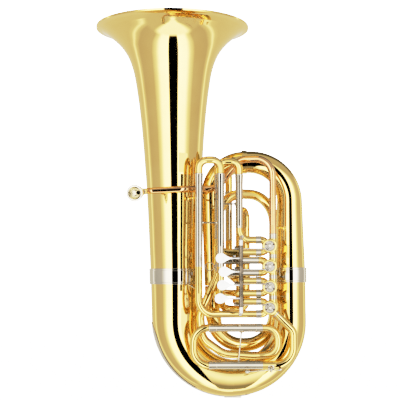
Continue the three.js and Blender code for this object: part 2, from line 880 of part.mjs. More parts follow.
const AXLE_R = 2.2;
const AXLE_HOLE_R = 2.55; // bore of the hubs and bosses on the axle
const AXLE_BOTTOM_Z = 229;
const AXLE_TOP_Z = 420;
const HUB_R = 5.4;
const ARM_R = 2.3; // at the hub
const ARM_END_R = 1.8;
const CRANK_R = 2;
const CRANK_RISE = 4.4; // of the crank over its rod
const JOINT_PIN_R = 1.6;
const ROD_R = 1.5;
const SOCKET_R = 3.9;
const EYE_R = 5;
const EYE_HOLE_R = 3.2;
const BOSS_HALF = 5;
const SHANK_R = 3;
const FOOT_R = 6;
const ARM_LEAN = 16; // degrees that the arms stand forward of the axle plane
// Height of each lever's arm, distance of its paddle in X, and the ends of its hub.
const LEVERS = [
  { arm: 371.7, paddleX: 61.4, hub: [368, 404] },
  { arm: 337, paddleX: 69.2, hub: [333, 350] },
  { arm: 302.7, paddleX: 65.3, hub: [299, 312] },
  { arm: 268.5, paddleX: 58.8, hub: [247, 272] },
];
const PADDLE_LENGTH = 44;
const PADDLE_WIDTH = 26;
const PADDLE_THICKNESS = 2.4;
const PADDLE_POINTS = 12;

const rodZ = (number) => valveZ(number) + (number <= 2 ? -1 : 1) * (PIN_REACH + ROD_SAG);

// A drop-shaped plate, narrower towards the arm, lying along +X with its face towards -Y.
function paddleShape() {
  const points = [];
  for (let k = 0; k < PADDLE_POINTS; k++) {
    const angle = (2 * Math.PI * k) / PADDLE_POINTS;
    const narrowing = 1 + 0.28 * Math.cos(angle);
    const x = (PADDLE_LENGTH / 2) * Math.cos(angle);
    points.push(new THREE.Vector2(x, (PADDLE_WIDTH / 2) * Math.sin(angle) * narrowing));
  }
  const options = { depth: PADDLE_THICKNESS, bevelEnabled: false };
  const geometry = new THREE.ExtrudeGeometry(new THREE.Shape(points), options);
  geometry.translate(0, 0, -PADDLE_THICKNESS / 2);
  geometry.rotateX(Math.PI / 2);
  return geometry;
}

function makeLever(number) {
  const { arm, paddleX, hub } = LEVERS[number - 1];
  const lean = THREE.MathUtils.degToRad(ARM_LEAN);
  const reach = (LEVER_X - paddleX) / Math.cos(lean);
  const axis = (z) => v3(LEVER_X, LEVER_Y, z);
  const paddle = paddleShape();
  paddle.translate(reach, 0, 0);
  paddle.rotateZ(Math.PI + lean);
  paddle.translate(LEVER_X, LEVER_Y, arm);
  const armLength = reach - 8; // it ends under the paddle
  const armEnd = axis(arm);
  armEnd.x -= armLength * Math.cos(lean);
  armEnd.y -= armLength * Math.sin(lean);
  const z = rodZ(number);
  const crankZ = z + CRANK_RISE;
  const pinAt = (height) => v3(LEVER_X + CRANK[0], ROD_Y, height);
  const lever = unite(
    bar(axis(hub[0]), axis(hub[1]), HUB_R),
    bar(axis(arm), armEnd, ARM_R, 6, ARM_END_R),
    solid(paddle),
    bar(axis(crankZ), pinAt(crankZ), CRANK_R, 6),
    bar(pinAt(z - 3.4), pinAt(crankZ + 1.1), JOINT_PIN_R, 6),
  );
  const hole = bar(axis(hub[0] - 1), axis(hub[1] + 1), AXLE_HOLE_R);
  add("lever_" + number, cut(lever, hole), NICKEL);
}

function makeRod(number) {
  const z = rodZ(number);
  const from = v3(LEVER_X + CRANK[0], ROD_Y, z);
  const to = v3(VALVE_X - PIN_REACH, ROD_Y, z);
  const eye = (half, radius) => bar(v3(to.x, ROD_Y - half, z), v3(to.x, ROD_Y + half, z), radius);
  const socket = (half, radius) =>
    bar(v3(from.x, ROD_Y, z - half), v3(from.x, ROD_Y, z + half), radius);
  const rod = unite(bar(from, to, ROD_R, 6), eye(1.3, EYE_R), socket(2, SOCKET_R));
  const holes = [eye(3, EYE_HOLE_R), socket(4, JOINT_PIN_R + 0.4)];
  add("linkage_rod_" + number, cut(rod, ...holes), STEEL);
}

// A post carries one end of the lever axle: a bored boss and a shank to the nearest tube.
function makePost(name, z, foot) {
  const centre = v3(LEVER_X, LEVER_Y, z);
  const upright = (half, radius) =>
    bar(v3(LEVER_X, LEVER_Y, z - half), v3(LEVER_X, LEVER_Y, z + half), radius);
  const boss = upright(BOSS_HALF, HUB_R);
  const hole = upright(BOSS_HALF + 1, AXLE_HOLE_R);
  const base = foot.clone().lerp(centre, 0.05);
  const post = unite(boss, bar(centre, foot, SHANK_R), bar(base, foot, FOOT_R, 12));
  add(name, cut(post, hole), NICKEL);
}

function makeLeverRack() {
  makePost("lever_post_upper", 412, v3(110, -89, 428));
  makePost("lever_post_lower", 238, v3(106, -92.6, 228));
  const bottom = v3(LEVER_X, LEVER_Y, AXLE_BOTTOM_Z);
  const top = v3(LEVER_X, LEVER_Y, AXLE_TOP_Z);
  const pin = bar(bottom, top, AXLE_R);
  const heads = [AXLE_BOTTOM_Z, AXLE_TOP_Z].map((z) =>
    bar(v3(LEVER_X, LEVER_Y, z - 1.5), v3(LEVER_X, LEVER_Y, z + 1.5), 3.6),
  );
  add("lever_axle", unite(pin, ...heads), STEEL);
}

// ---- Water key and braces ------------------------------------------------------------------------

const KEY_TILT = 40; // degrees round the tube, from its front towards its underside
const KEY_PIVOT_X = 186;
const KEY_PIVOT_Y = -16; // from the tube's axis
const KEY_ARM_R = 1.6;

// Both pieces are drawn in front of the lower tube, about its axis, and turned with their group.
function makeWaterKey() {
  const tilted = new THREE.Group();
  tilted.position.set(0, VALVE_Y, TUNING_LOW_Z);
  tilted.rotation.x = THREE.MathUtils.degToRad(KEY_TILT);
  tuba.add(tilted);
  const pivot = (z) => v3(KEY_PIVOT_X, KEY_PIVOT_Y, z);
  const [corkX, padX] = [210, 124];
  const key = unite(
    bar(pivot(-5.5), pivot(5.5), 2.9),
    bar(pivot(0), v3(corkX + 2, -16.6, 0), KEY_ARM_R, 6),
    bar(v3(corkX, -17.6, 0), v3(corkX, -11.8, 0), 4, 10),
    bar(pivot(0), v3(padX + 4, -24, 0), KEY_ARM_R, 6),
    bar(v3(padX, -25.4, 0), v3(padX, -23.4, 0), 6.5, 10),
  );
  const holed = cut(key, bar(pivot(-7), pivot(7), 1.5, 12));
  tilted.add(namedMesh("water_key", holed, NICKEL));
  const lug = (z) => block(KEY_PIVOT_X - 3, KEY_PIVOT_X + 3, KEY_PIVOT_Y - 2.5, -11.8, z, z + 2);
  const saddle = unite(
    block(KEY_PIVOT_X - 5, KEY_PIVOT_X + 5, -12.6, -11.2, -8, 8),
    lug(-8),
    lug(6),
    bar(pivot(-8.8), pivot(8.8), 1.2, 12),
  );
  tilted.add(namedMesh("water_key_saddle", saddle, NICKEL));
}

function makeBrace(name, from, fromRadius, to, toRadius) {
  const axis = to.clone().sub(from).normalize();
  const start = from.clone().addScaledVector(axis, fromRadius + 0.8);
  const length = to.distanceTo(from) - fromRadius - toRadius - 1.6;
  const profile = [
    [0, 0],
    [7, 0],
    [6, 1.6],
    [2.6, 3],
    [2.6, length - 3],
    [5, length - 1.4],
    [5.5, length],
    [0, length],
  ];
  add(name, turned(profile, start, axis, 10), BRASS);
}

function makeBraces() {
  const leg = (z) => v3(SLIDE_4.left, SLIDE_4.y, z);
  const bell = (z) => v3(bellAxisX(z), 0, z);
  makeBrace("bell_brace", bell(533), lookUp(FLARE, 533), leg(533), TUBE_R);
  const pipeSide = v3(KNUCKLE_X, VALVE_Y, 455);
  makeBrace("leadpipe_brace", v3(RIGHT_X, 0, 455), 38.4, pipeSide, 10);
}

makeBell();
makeBottomBow();
makeOuterBranch();
makeInnerBranches();
makeTuningLoop();
makeMouthpiece();
makeLeadpipe();
makeSlideOne();
makeSlideTwo();
makeSlideThree();
makeSlideFour();
for (let number = 1; number <= 4; number++) {
  makeCasing(number);
  makeRotor(number);
  makePlates(number);
  makeLever(number);
  makeRod(number);
}
makeLeverRack();
makeWaterKey();
makeBraces();

export default tuba;
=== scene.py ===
"""The looks of a four-valve rotary tuba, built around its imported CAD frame.

Every tube is rebuilt from its own CAD node: its rings are read back, the bends between them are made
round again, and fittings are placed by distance along those tubes. Points, paths and the radii of
tubes and wires are in metres; profiles and the sizes of small parts are in millimetres.
"""

import json
import math

import bmesh
import bpy
from mathutils import Matrix, Quaternion, Vector


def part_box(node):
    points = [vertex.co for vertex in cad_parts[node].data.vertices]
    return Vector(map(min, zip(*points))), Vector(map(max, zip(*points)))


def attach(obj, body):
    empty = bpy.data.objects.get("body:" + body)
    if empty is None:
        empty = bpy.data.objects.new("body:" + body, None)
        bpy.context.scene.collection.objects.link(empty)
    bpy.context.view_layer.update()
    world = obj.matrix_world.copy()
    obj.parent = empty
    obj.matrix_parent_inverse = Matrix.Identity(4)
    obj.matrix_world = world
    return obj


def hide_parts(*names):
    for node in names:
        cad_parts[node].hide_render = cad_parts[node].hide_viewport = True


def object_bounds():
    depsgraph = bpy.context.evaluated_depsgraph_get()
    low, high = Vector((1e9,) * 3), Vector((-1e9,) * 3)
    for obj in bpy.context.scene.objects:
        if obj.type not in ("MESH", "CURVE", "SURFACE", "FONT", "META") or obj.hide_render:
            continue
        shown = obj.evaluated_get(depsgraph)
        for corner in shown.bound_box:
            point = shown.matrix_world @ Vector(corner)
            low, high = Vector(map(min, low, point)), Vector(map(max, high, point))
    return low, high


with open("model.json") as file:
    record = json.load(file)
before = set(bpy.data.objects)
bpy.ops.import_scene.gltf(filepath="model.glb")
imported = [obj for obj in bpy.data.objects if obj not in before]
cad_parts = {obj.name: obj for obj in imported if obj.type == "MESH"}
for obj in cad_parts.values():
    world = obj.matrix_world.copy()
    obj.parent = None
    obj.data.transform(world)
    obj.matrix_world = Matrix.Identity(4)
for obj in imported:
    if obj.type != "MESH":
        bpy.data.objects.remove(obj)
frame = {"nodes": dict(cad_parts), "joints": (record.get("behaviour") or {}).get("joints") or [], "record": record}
cad_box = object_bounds()
record = frame["record"]
joints = {joint["name"]: joint for joint in frame["joints"]}
node_body = {node: body for body, nodes in record["behaviour"]["bodies"].items() for node in nodes}
paths = {}  # every rebuilt tube, by its CAD node

MM = 0.001
BODY = "tuba_body"
BRASS, NICKEL, STEEL = "lacquered_brass", "nickel_silver", "steel"  # material slots
FRONT = Vector((0, -1, 0))
UP = Vector((0, 0, 1))
RIGHT = Vector((1, 0, 0))
BEND_STEP = math.radians(5)  # finest turn between two rings of a rebuilt bend
LIP = 0.25 * MM  # rounding of a tube's end
SHARP = math.radians(32)


# ---- Reading the CAD tubes -------------------------------------------------------------------


def mean(points):
    points = list(points)
    return sum(points, Vector()) / len(points)


def merged_mesh(node):
    """A CAD node's mesh with its doubled vertices merged."""
    mesh = bmesh.new()
    mesh.from_mesh(frame["nodes"][node].data)
    bmesh.ops.remove_doubles(mesh, verts=mesh.verts, dist=0.01 * MM)
    mesh.verts.ensure_lookup_table()
    mesh.faces.ensure_lookup_table()
    return mesh


def flat_groups(mesh):
    """Groups of touching faces that share one plane, each as a list of faces."""
    one_plane = 0.99995  # least cosine between two normals
    seen = set()
    groups = []
    for first in mesh.faces:
        if first.index in seen:
            continue
        group = [first]
        seen.add(first.index)
        for face in group:
            for other in (face for edge in face.edges for face in edge.link_faces):
                if other.index not in seen and other.normal.dot(first.normal) >= one_plane:
                    seen.add(other.index)
                    group.append(other)
        groups.append(group)
    return groups


def ring_layers(first, barred):
    """Layers of vertices reached step by step from a first loop, without the barred ones."""
    layers = [list(first)]
    seen = {v.index for v in (*first, *barred)}
    while True:
        layer = {}
        for vertex in layers[-1]:
            for other in (edge.other_vert(vertex) for edge in vertex.link_edges):
                if other.index not in seen:
                    layer[other.index] = other
        if len(layer) != len(first):
            return layers
        layers.append(list(layer.values()))
        seen |= set(layer)


def loop_circle(loop):
    """(centre, radius, plane normal) of a loop of vertices that lie on a circle."""
    middle = mean(vertex.co for vertex in loop)
    arms = [vertex.co - middle for vertex in loop]
    radius = sum(arm.length for arm in arms) / len(arms)
    across = max(arms[1:], key=lambda arm: arm.cross(arms[0]).length)
    return middle, radius, arms[0].cross(across).normalized()


def read_rings(node):
    """The rings of a tube, end to end: dicts with centre, tangent, radius and bore."""
    mesh = merged_mesh(node)
    caps = []
    for group in flat_groups(mesh):
        vertices = sorted({v for face in group for v in face.verts}, key=lambda v: v.index)
        if len(group) == len(vertices) and len(group) >= 12:
            caps.append(vertices)
    if len(caps) < 2:
        raise ValueError(f"{node} has {len(caps)} end caps")
    start = min(caps, key=len)
    middle = mean(v.co for v in start)
    ordered = sorted(start, key=lambda v: (v.co - middle).length)
    half = len(ordered) // 2
    inner, outer = ordered[:half], ordered[half:]
    outside = ring_layers(outer, inner)
    inside = ring_layers(inner, outer)
    # Each walk runs along its own side, over the far cap and back along the other side.
    count = (len(outside) + 1) // 2
    rings = []
    for outer_loop, inner_loop in zip(outside[:count], inside):
        centre, radius, normal = loop_circle(outer_loop)
        bore = loop_circle(inner_loop)[1]
        rings.append({"centre": centre, "tangent": normal, "radius": radius, "bore": bore})
    for i, ring in enumerate(rings):
        before, after = rings[max(0, i - 1)], rings[min(count - 1, i + 1)]
        if ring["tangent"].dot(after["centre"] - before["centre"]) < 0:
            ring["tangent"].negate()
    mesh.free()
    return rings


# ---- Rebuilding them round -------------------------------------------------------------------


def monotone_slopes(xs, ys):
    """Slopes of a smooth curve through points that never overshoots them."""
    steps = [(ys[i + 1] - ys[i]) / (xs[i + 1] - xs[i]) for i in range(len(xs) - 1)]
    slopes = [steps[0]]
    for left, right in zip(steps, steps[1:]):
        slopes.append(0 if left * right <= 0 else 2 * left * right / (left + right))
    return slopes + [steps[-1]]


def hermite(a, b, slope_a, slope_b, span, t):
    """The value at share t of a cubic between a and b with the given end slopes."""
    t2, t3 = t * t, t * t * t
    value = a * (2 * t3 - 3 * t2 + 1) + b * (3 * t2 - 2 * t3)
    return value + (slope_a * (t3 - 2 * t2 + t) + slope_b * (t3 - t2)) * span


def arc_speed(a, b):
    """(length of the end tangents, turn) for a cubic that follows an arc between two rings."""
    chord = (b["centre"] - a["centre"]).length
    turn = a["tangent"].angle(b["tangent"])
    if turn < 1e-3:
        return chord, turn
    radius = chord / (2 * math.sin(turn / 2))
    return 4 * math.tan(turn / 4) * radius, turn


class Path:
    """A tube's fine rings, with distances along it and two directions square to it."""

    def __init__(self, rings):
        self.rings = self.refine(rings)
        side = -FRONT
        distance = 0.0
        before = self.rings[0]
        for ring in self.rings:
            distance += (ring["centre"] - before["centre"]).length
            before = ring
            side = (side - ring["tangent"] * side.dot(ring["tangent"])).normalized()
            ring.update(s=distance, u=side, v=ring["tangent"].cross(side))
        self.length = distance

    @staticmethod
    def refine(rings):
        along = [0.0]
        for a, b in zip(rings, rings[1:]):
            along.append(along[-1] + (b["centre"] - a["centre"]).length)
        slopes = {}
        for kind in ("radius", "bore"):
            slopes[kind] = monotone_slopes(along, [ring[kind] for ring in rings])
        fine = []
        for i, (a, b) in enumerate(zip(rings, rings[1:])):
            span = along[i + 1] - along[i]
            speed, turn = arc_speed(a, b)
            parts = max(1, math.ceil(turn / BEND_STEP))
            if span > 2 * MM and abs(a["radius"] - b["radius"]) > 0.2 * MM:
                parts = max(parts, 4)
            for t in (k / parts for k in range(parts)):
                ends = (a["tangent"] * speed, b["tangent"] * speed)
                ring = {"centre": hermite(a["centre"], b["centre"], *ends, 1, t)}
                ring["tangent"] = a["tangent"].slerp(b["tangent"], t) if turn > 1e-4 else a["tangent"]
                for kind, slope in slopes.items():
                    ring[kind] = hermite(a[kind], b[kind], slope[i], slope[i + 1], span, t)
                fine.append(ring)
        return fine + [dict(rings[-1])]

    def at(self, s):
        """The interpolated ring at a distance along the path."""
        s = min(max(s, 0.0), self.length)
        rings = self.rings
        i = next((k for k in range(1, len(rings)) if rings[k]["s"] >= s), len(rings) - 1)
        a, b = rings[i - 1], rings[i]
        t = (s - a["s"]) / max(b["s"] - a["s"], 1e-9)
        ring = {key: a[key] * (1 - t) + b[key] * t for key in a}
        for key in ("tangent", "u", "v"):
            ring[key] = ring[key].normalized()
        return ring

    def nearest(self, point):
        """The distance along the path at which it passes nearest to a point."""
        best, found = math.inf, 0.0
        for a, b in zip(self.rings, self.rings[1:]):
            run = b["centre"] - a["centre"]
            share = min(1.0, max(0.0, (point - a["centre"]).dot(run) / run.length_squared))
            gap = (a["centre"] + run * share - point).length
            if gap < best:
                best, found = gap, a["s"] + (b["s"] - a["s"]) * share
        return found


# ---- Shells: lists of points and faces, merged into one piece ----------------------------------


def new_object(name, vertices, faces, smooth=True):
    """A linked mesh object with its faces turned outwards."""
    mesh = bpy.data.meshes.new(name)
    mesh.from_pydata([tuple(v) for v in vertices], [], faces)
    shell = bmesh.new()
    shell.from_mesh(mesh)
    bmesh.ops.recalc_face_normals(shell, faces=shell.faces)
    shell.to_mesh(mesh)
    shell.free()
    made = bpy.data.objects.new(name, mesh)
    bpy.context.scene.collection.objects.link(made)
    if smooth:
        mesh.shade_smooth()
        mesh.set_sharp_from_angle(angle=SHARP)
        weighted = made.modifiers.new("weighted_normals", "WEIGHTED_NORMAL")
        weighted.keep_sharp = True
    return made


def merged(*shells):
    """One shell out of several."""
    vertices, faces = [], []
    for points, polygons in shells:
        start = len(vertices)
        vertices += points
        faces += [tuple(start + index for index in polygon) for polygon in polygons]
    return vertices, faces


def piece(name, body, slot, *shells, look=None, replaces=None):
    """A named piece made of shells, riding on its body, that may stand for a CAD node."""
    made = new_object(name, *merged(*shells))
    made.data.materials.append(FINISH[look or slot])
    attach(made, body)
    if replaces:
        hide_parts(replaces)
    return made


def skin_loops(loops, closed=False):
    """Quads between successive loops of points; closed joins the last loop to the first."""
    count = len(loops[0])
    vertices = [point for loop in loops for point in loop]
    faces = []
    for i in range(len(loops) if closed else len(loops) - 1):
        a, b = i * count, ((i + 1) % len(loops)) * count
        faces += [(a + k, a + (k + 1) % count, b + (k + 1) % count, b + k) for k in range(count)]
    if not closed:
        faces.append(tuple(range(count))[::-1])
        faces.append(tuple(len(vertices) - count + k for k in range(count)))
    return vertices, faces


def arm(u, v, angle):
    """The unit arm at an angle from u towards v."""
    return u * math.cos(angle) + v * math.sin(angle)


def arms(u, v, count):
    """Unit arms all the way round, from u towards v."""
    return [arm(u, v, 2 * math.pi * k / count) for k in range(count)]


def circle(ring, radius, sides, shift=0.0):
    """A loop of points round a ring, moved along its tangent by shift."""
    centre = ring["centre"] + ring["tangent"] * shift
    return [centre + spoke * radius for spoke in arms(ring["u"], ring["v"], sides)]


def eased(corners, size, closed=False):
    """A run of corners, each rounded off by up to size."""
    points = [Vector(corner) for corner in corners]
    run = []
    for i, point in enumerate(points):
        if not closed and i in (0, len(points) - 1):
            run.append(point)
            continue
        before, after = points[i - 1] - point, points[(i + 1) % len(points)] - point
        reach = min(size, before.length * 0.45, after.length * 0.45)
        start = point + before.normalized() * reach
        end = point + after.normalized() * reach
        for t in (0, 1 / 3, 2 / 3, 1):
            run.append(start.lerp(point, t).lerp(point.lerp(end, t), t))
    return run


def sides_of(axis):
    """An axis as a unit vector, with two more that are square to it and to each other."""
    axis = Vector(axis).normalized()
    guide = UP if abs(axis.z) < 0.9 else FRONT
    u = (guide - axis * guide.dot(axis)).normalized()
    return axis, u, axis.cross(u)


def lathe(profile, origin, axis, sides=40, closed=False, ripple=None):
    """A body turned round an axis from (radius, distance along) points in millimetres.

    closed joins the last point to the first, for rings; ripple is (count, depth) of knurling.
    """
    axis, u, v = sides_of(axis)
    count, depth = ripple or (0, 0)
    spokes = arms(u, v, sides)
    cuts = [depth * (0.5 + 0.5 * math.cos(count * 2 * math.pi * k / sides)) for k in range(sides)]
    loops = []
    for radius, along in profile:
        middle = origin + axis * along * MM
        loops.append([middle + spoke * (radius - cut) * MM for spoke, cut in zip(spokes, cuts)])
    return skin_loops(loops, closed)


def turned(corners, origin, axis, sides=48, ease=0.3, ripple=None):
    """A closed ring turned from (radius, along) corners, with its edges eased."""
    return lathe(eased(corners, ease, True), origin, axis, sides, True, ripple)


def solid(corners, origin, axis, sides=40, ease=0.3, ripple=None):
    """A solid turned from (radius, along) corners, with its edges eased."""
    return lathe(eased(corners, ease), origin, axis, sides, False, ripple)


def both_ends(end, length):
    """A closed outline that starts with one end's corners and finishes with the same, mirrored."""
    return end + [(radius, length - along) for radius, along in reversed(end)]


def hollow(bore, radius, length):
    """The corners of a plain pipe, for turned."""
    return both_ends([(bore, 0), (radius, 0)], length)


def pin(start, end, radius, ease=0.3):
    """A solid round bar between two points, with eased ends; radius and ease in millimetres."""
    length = (end - start).length / MM
    ease = min(ease, radius * 0.6, length * 0.4)
    tip = [(radius - ease, 0), (radius - 0.3 * ease, 0.3 * ease), (radius, ease)]
    return lathe(both_ends(tip, length), start, end - start, 24)


def bent(corners):
    """Points along straight runs joined by arcs; each corner is (point, bend radius)."""
    points = [corners[0][0]]
    for (a, _), (b, bend), (c, _) in zip(corners, corners[1:], corners[2:]):
        before, after = (a - b).normalized(), (c - b).normalized()
        turn = math.pi - before.angle(after)
        reach = bend * math.tan(turn / 2)
        middle = b + (before + after).normalized() * (bend / math.cos(turn / 2))
        start, end = b + before * reach - middle, b + after * reach - middle
        axis = start.cross(end).normalized()
        count = max(2, math.ceil(turn / BEND_STEP))
        points += [middle + Quaternion(axis, turn * k / count) @ start for k in range(count + 1)]
    return [*points, corners[-1][0]]


def route(points, radius, bore=0.0):
    """A path through points with one radius."""
    rings = []
    for i, point in enumerate(points):
        before, after = points[max(0, i - 1)], points[min(len(points) - 1, i + 1)]
        tangent = (after - before).normalized()
        rings.append({"centre": point, "tangent": tangent, "radius": radius, "bore": bore})
    return Path(rings)


def outside(rings, sides, lip, inset):
    """Loops along the outside of rings, whose first and last are eased by lip and inset."""
    first, last = rings[0], rings[-1]
    loops = [circle(first, first["radius"] - inset, sides)]
    loops.append(circle(first, first["radius"], sides, lip))
    loops += [circle(between, between["radius"], sides) for between in rings[1:-1]]
    loops.append(circle(last, last["radius"], sides, -lip))
    loops.append(circle(last, last["radius"] - inset, sides))
    return loops


def wire(points, radius, sides=12):
    """A solid round wire along points, with eased ends."""
    return skin_loops(outside(route(points, radius).rings, sides, radius * 0.4, radius * 0.4))


def tube_shell(path, sides=40):
    """A hollow tube: out along a path, and back along its bore."""
    loops = outside(path.rings, sides, LIP, LIP)
    loops += [circle(between, between["bore"], sides) for between in reversed(path.rings)]
    return skin_loops(loops, closed=True)


def hoop(centre, axis, radius, thickness, sides=12, steps=48):
    """A round ring of wire."""
    axis, u, v = sides_of(axis)
    loops = []
    for spoke in arms(u, v, steps):
        middle = centre + spoke * radius
        loops.append([middle + offset * thickness for offset in arms(spoke, axis, sides)])
    return skin_loops(loops, closed=True)


def section(path, start, end, grow=0.0):
    """The part of a path between two distances, as a path of its own, with its radius grown."""
    margin = 0.1 * MM
    between = [ring for ring in path.rings if start + margin < ring["s"] < end - margin]
    rings = [dict(ring) for ring in (path.at(start), *between, path.at(end))]
    for ring in rings:
        ring["radius"] += grow
    return Path(rings)


def band(path, where, corners, ease=0.45, sides=40):
    """A ring round a tube, turned from (distance from where, height) corners in millimetres."""
    loops = []
    for along, height in eased(corners, ease, closed=True):
        ring = path.at(where + along * MM)
        loops.append(circle(ring, ring["radius"] + height * MM, sides))
    return skin_loops(loops, closed=True)


def collar(path, where, length):
    """A sleeve round a tube with a bead at both ends, its length in millimetres."""
    half = length / 2
    end = [(-half, -0.2), (-half, 0.6), (1.44 - half, 0.6), (1.84 - half, 0.4)]
    return band(path, where, end + [(-along, height) for along, height in reversed(end)])


def plate(outline, normal, thickness, ease, dome):
    """A plate with eased edges and a domed face; outline points lie in its middle plane."""
    middle = mean(outline)
    half = thickness / 2
    edge = [(2.2 * ease, half), (0.6 * ease, half - 0.25 * ease), (0, half - ease)]
    loops = []
    for inset, height in [(inset, -height) for inset, height in edge] + edge[::-1]:
        rise = normal * height * MM
        loops.append([p - (p - middle).normalized() * inset * MM + rise for p in outline])
    rim = [point - middle - normal * half * MM for point in loops[-1]]
    for share, rise in ((0.75, 0.5), (0.5, 0.8), (0.25, 1.0)):
        top = middle + normal * (half + dome * rise) * MM
        loops.append([top + point * share for point in rim])
    return skin_loops(loops)


def block(centre, size, bevel, turn=None):
    """A box with eased edges, optionally turned by a matrix."""
    shape = bmesh.new()
    bmesh.ops.create_cube(shape, size=MM)
    bmesh.ops.scale(shape, vec=size, verts=shape.verts)
    edges = shape.edges[:]
    bmesh.ops.bevel(shape, geom=edges, offset=bevel * MM, segments=2, profile=0.5, affect="EDGES")
    turn = turn or Matrix.Identity(3)
    vertices = [turn @ vertex.co + centre for vertex in shape.verts]
    faces = [tuple(vertex.index for vertex in face.verts) for face in shape.faces]
    shape.free()
    return vertices, faces


def screw(base, axis, radius, height, slot_angle=30):
    """A slotted cheese-head screw: a disc with two half discs standing on it."""
    axis, u, v = sides_of(axis)
    turn = Quaternion(axis, math.radians(slot_angle))
    u, v = turn @ u, turn @ v
    shells = [lathe([(radius, 0), (radius, 0.45 * height)], base, axis, 28)]
    gap = 0.16 * radius  # half the slot's width
    start = math.asin(gap / radius)
    for side in (v, -v):
        rim = []
        for k in range(13):
            rim.append(arm(u, side, start + (math.pi - 2 * start) * k / 12) * radius * MM)
        low, mid, top = (base + axis * share * height * MM for share in (0.4, 0.8, 1))
        top += side * gap * 0.3 * MM
        loops = [[low + point for point in rim], [mid + point for point in rim]]
        shells.append(skin_loops([*loops, [top + point * 0.88 for point in rim]]))
    return merged(*shells)


def coil(centre, axis, radius, thickness, height, turns, tails=0.0):
    """A coil spring, with straight tails of a given length."""
    axis, u, v = sides_of(axis)
    steps = int(turns * 18)
    points = []
    for k in range(steps + 1):
        spoke = arm(u, v, 2 * math.pi * turns * k / steps)
        points.append(centre + axis * height * MM * (k / steps - 0.5) + spoke * radius * MM)
    if tails:
        points.insert(0, points[0] + (points[0] - points[1]).normalized() * tails * MM)
        points.append(points[-1] + (points[-1] - points[-2]).normalized() * tails * MM)
    return wire(points, thickness * MM, 8)


def saddle(path, where, towards, half_length, half_width, height):
    """An oval foot that hugs a tube on the side that faces a direction."""
    ring = path.at(where)
    spoke = (towards - ring["tangent"] * towards.dot(ring["tangent"])).normalized()
    across = ring["tangent"].cross(spoke)
    loops = []
    for share, rise in ((1.0, -0.5), (1.0, 0.5), (0.93, 0.85), (0.8, 1.0), (0.4, 1.15), (0.1, 1.2)):
        reach = ring["radius"] + height * rise * MM
        loop = []
        for angle in (2 * math.pi * k / 28 for k in range(28)):
            along = ring["tangent"] * half_length * MM * share * math.cos(angle)
            turn = half_width * MM * share * math.sin(angle) / ring["radius"]
            loop.append(ring["centre"] + along + arm(spoke, across, turn) * reach)
        loops.append(loop)
    return skin_loops(loops)


def brace(first, first_point, second, second_point, radius, foot):
    """A round strut between two tubes, with an oval foot and a small cup on each."""
    sunk = 0.5 * MM  # how deep the strut and its cups start in the tubes' walls
    shells = []
    starts = []
    stations = [first.nearest(first_point), second.nearest(second_point)]
    ends = [first.at(stations[0]), second.at(stations[1])]
    for i, path in enumerate((first, second)):
        here, there = ends[i], ends[1 - i]
        towards = (there["centre"] - here["centre"]).normalized()
        width = min(foot * 0.8, here["radius"] / MM * 0.9)
        shells.append(saddle(path, stations[i], towards, foot, width, 0.9))
        starts.append(here["centre"] + towards * (here["radius"] - sunk))
        cup = [(radius * 1.9, 0), (radius * 1.7, 2.2), (radius * 0.9, 5)]
        shells.append(solid(cup, starts[i], towards, 24, 1))
    length = (starts[1] - starts[0]).length / MM
    swell = [(radius, 0), (radius, length)]
    if length >= 14:
        for along, share in ((-3.2, 1), (-2.2, 1.35), (0, 1.6), (2.2, 1.35), (3.2, 1)):
            swell.insert(-1, (radius * share, length / 2 + along))
    shells.append(lathe(swell, starts[0], starts[1] - starts[0], 20))
    return merged(*shells)


# ---- Materials --------------------------------------------------------------------------------


def feed(tree, node, inputs):
    """Links the sockets among some inputs to a node, and sets the others as values."""
    for key, value in inputs.items():
        if isinstance(value, bpy.types.NodeSocket):
            tree.links.new(value, node.inputs[key])
        else:
            node.inputs[key].default_value = value


def add_node(tree, kind, inputs=None, **settings):
    """A shader node with its settings and inputs."""
    node = tree.nodes.new("ShaderNode" + kind)
    for key, value in settings.items():
        setattr(node, key, value)
    feed(tree, node, inputs or {})
    return node


def calculate(tree, operation, *values):
    return add_node(tree, "Math", dict(enumerate(values)), operation=operation).outputs[0]


def grain(tree, scale, detail):
    """A noise texture in the object's own space, in features per metre."""
    place = add_node(tree, "TexCoord").outputs["Object"]
    noise = add_node(tree, "TexNoise", {"Vector": place, "Scale": scale, "Detail": detail})
    return noise.outputs["Fac"]


def spread(tree, value, low, high, start=0.35, end=0.65, kind="LINEAR"):
    """Maps a value to a range: low below start, high above end."""
    limits = {"From Min": start, "From Max": end, "To Min": low, "To Max": high}
    node = add_node(tree, "MapRange", {"Value": value, **limits}, interpolation_type=kind)
    return node.outputs["Result"]


def mix_colours(tree, factor, first, second):
    inputs = {"Factor": factor, "A": (*first, 1), "B": (*second, 1)}
    return add_node(tree, "Mix", inputs, data_type="RGBA").outputs["Result"]


def mix_values(tree, factor, first, second):
    inputs = {"Factor": factor, "A": first, "B": second}
    return add_node(tree, "Mix", inputs).outputs["Result"]


def make_material(name, make_inputs):
    """A material whose shader gets the inputs that a function makes in its tree."""
    material = bpy.data.materials.new(name)
    material.use_nodes = True
    tree = material.node_tree
    feed(tree, tree.nodes["Principled BSDF"], make_inputs(tree))
    return material


def polished_metal(name, colour, deep, edge, roughness, haze, coat=0.0):
    """Polished metal with cloudy colour, hazy patches and, if lacquered, a coat."""

    def inputs(tree):
        clouds = spread(tree, grain(tree, 14, 5), 0, 1)
        return {
            "Metallic": 1.0,
            "Base Color": mix_colours(tree, clouds, colour, deep),
            "Specular Tint": (*edge, 1),
            "Roughness": spread(tree, grain(tree, 60, 6), roughness, roughness + haze, 0.45, 0.75),
            "Coat Weight": coat,
            "Coat Roughness": 0.03,
            "Coat IOR": 1.5,
        }

    return make_material(name, inputs)


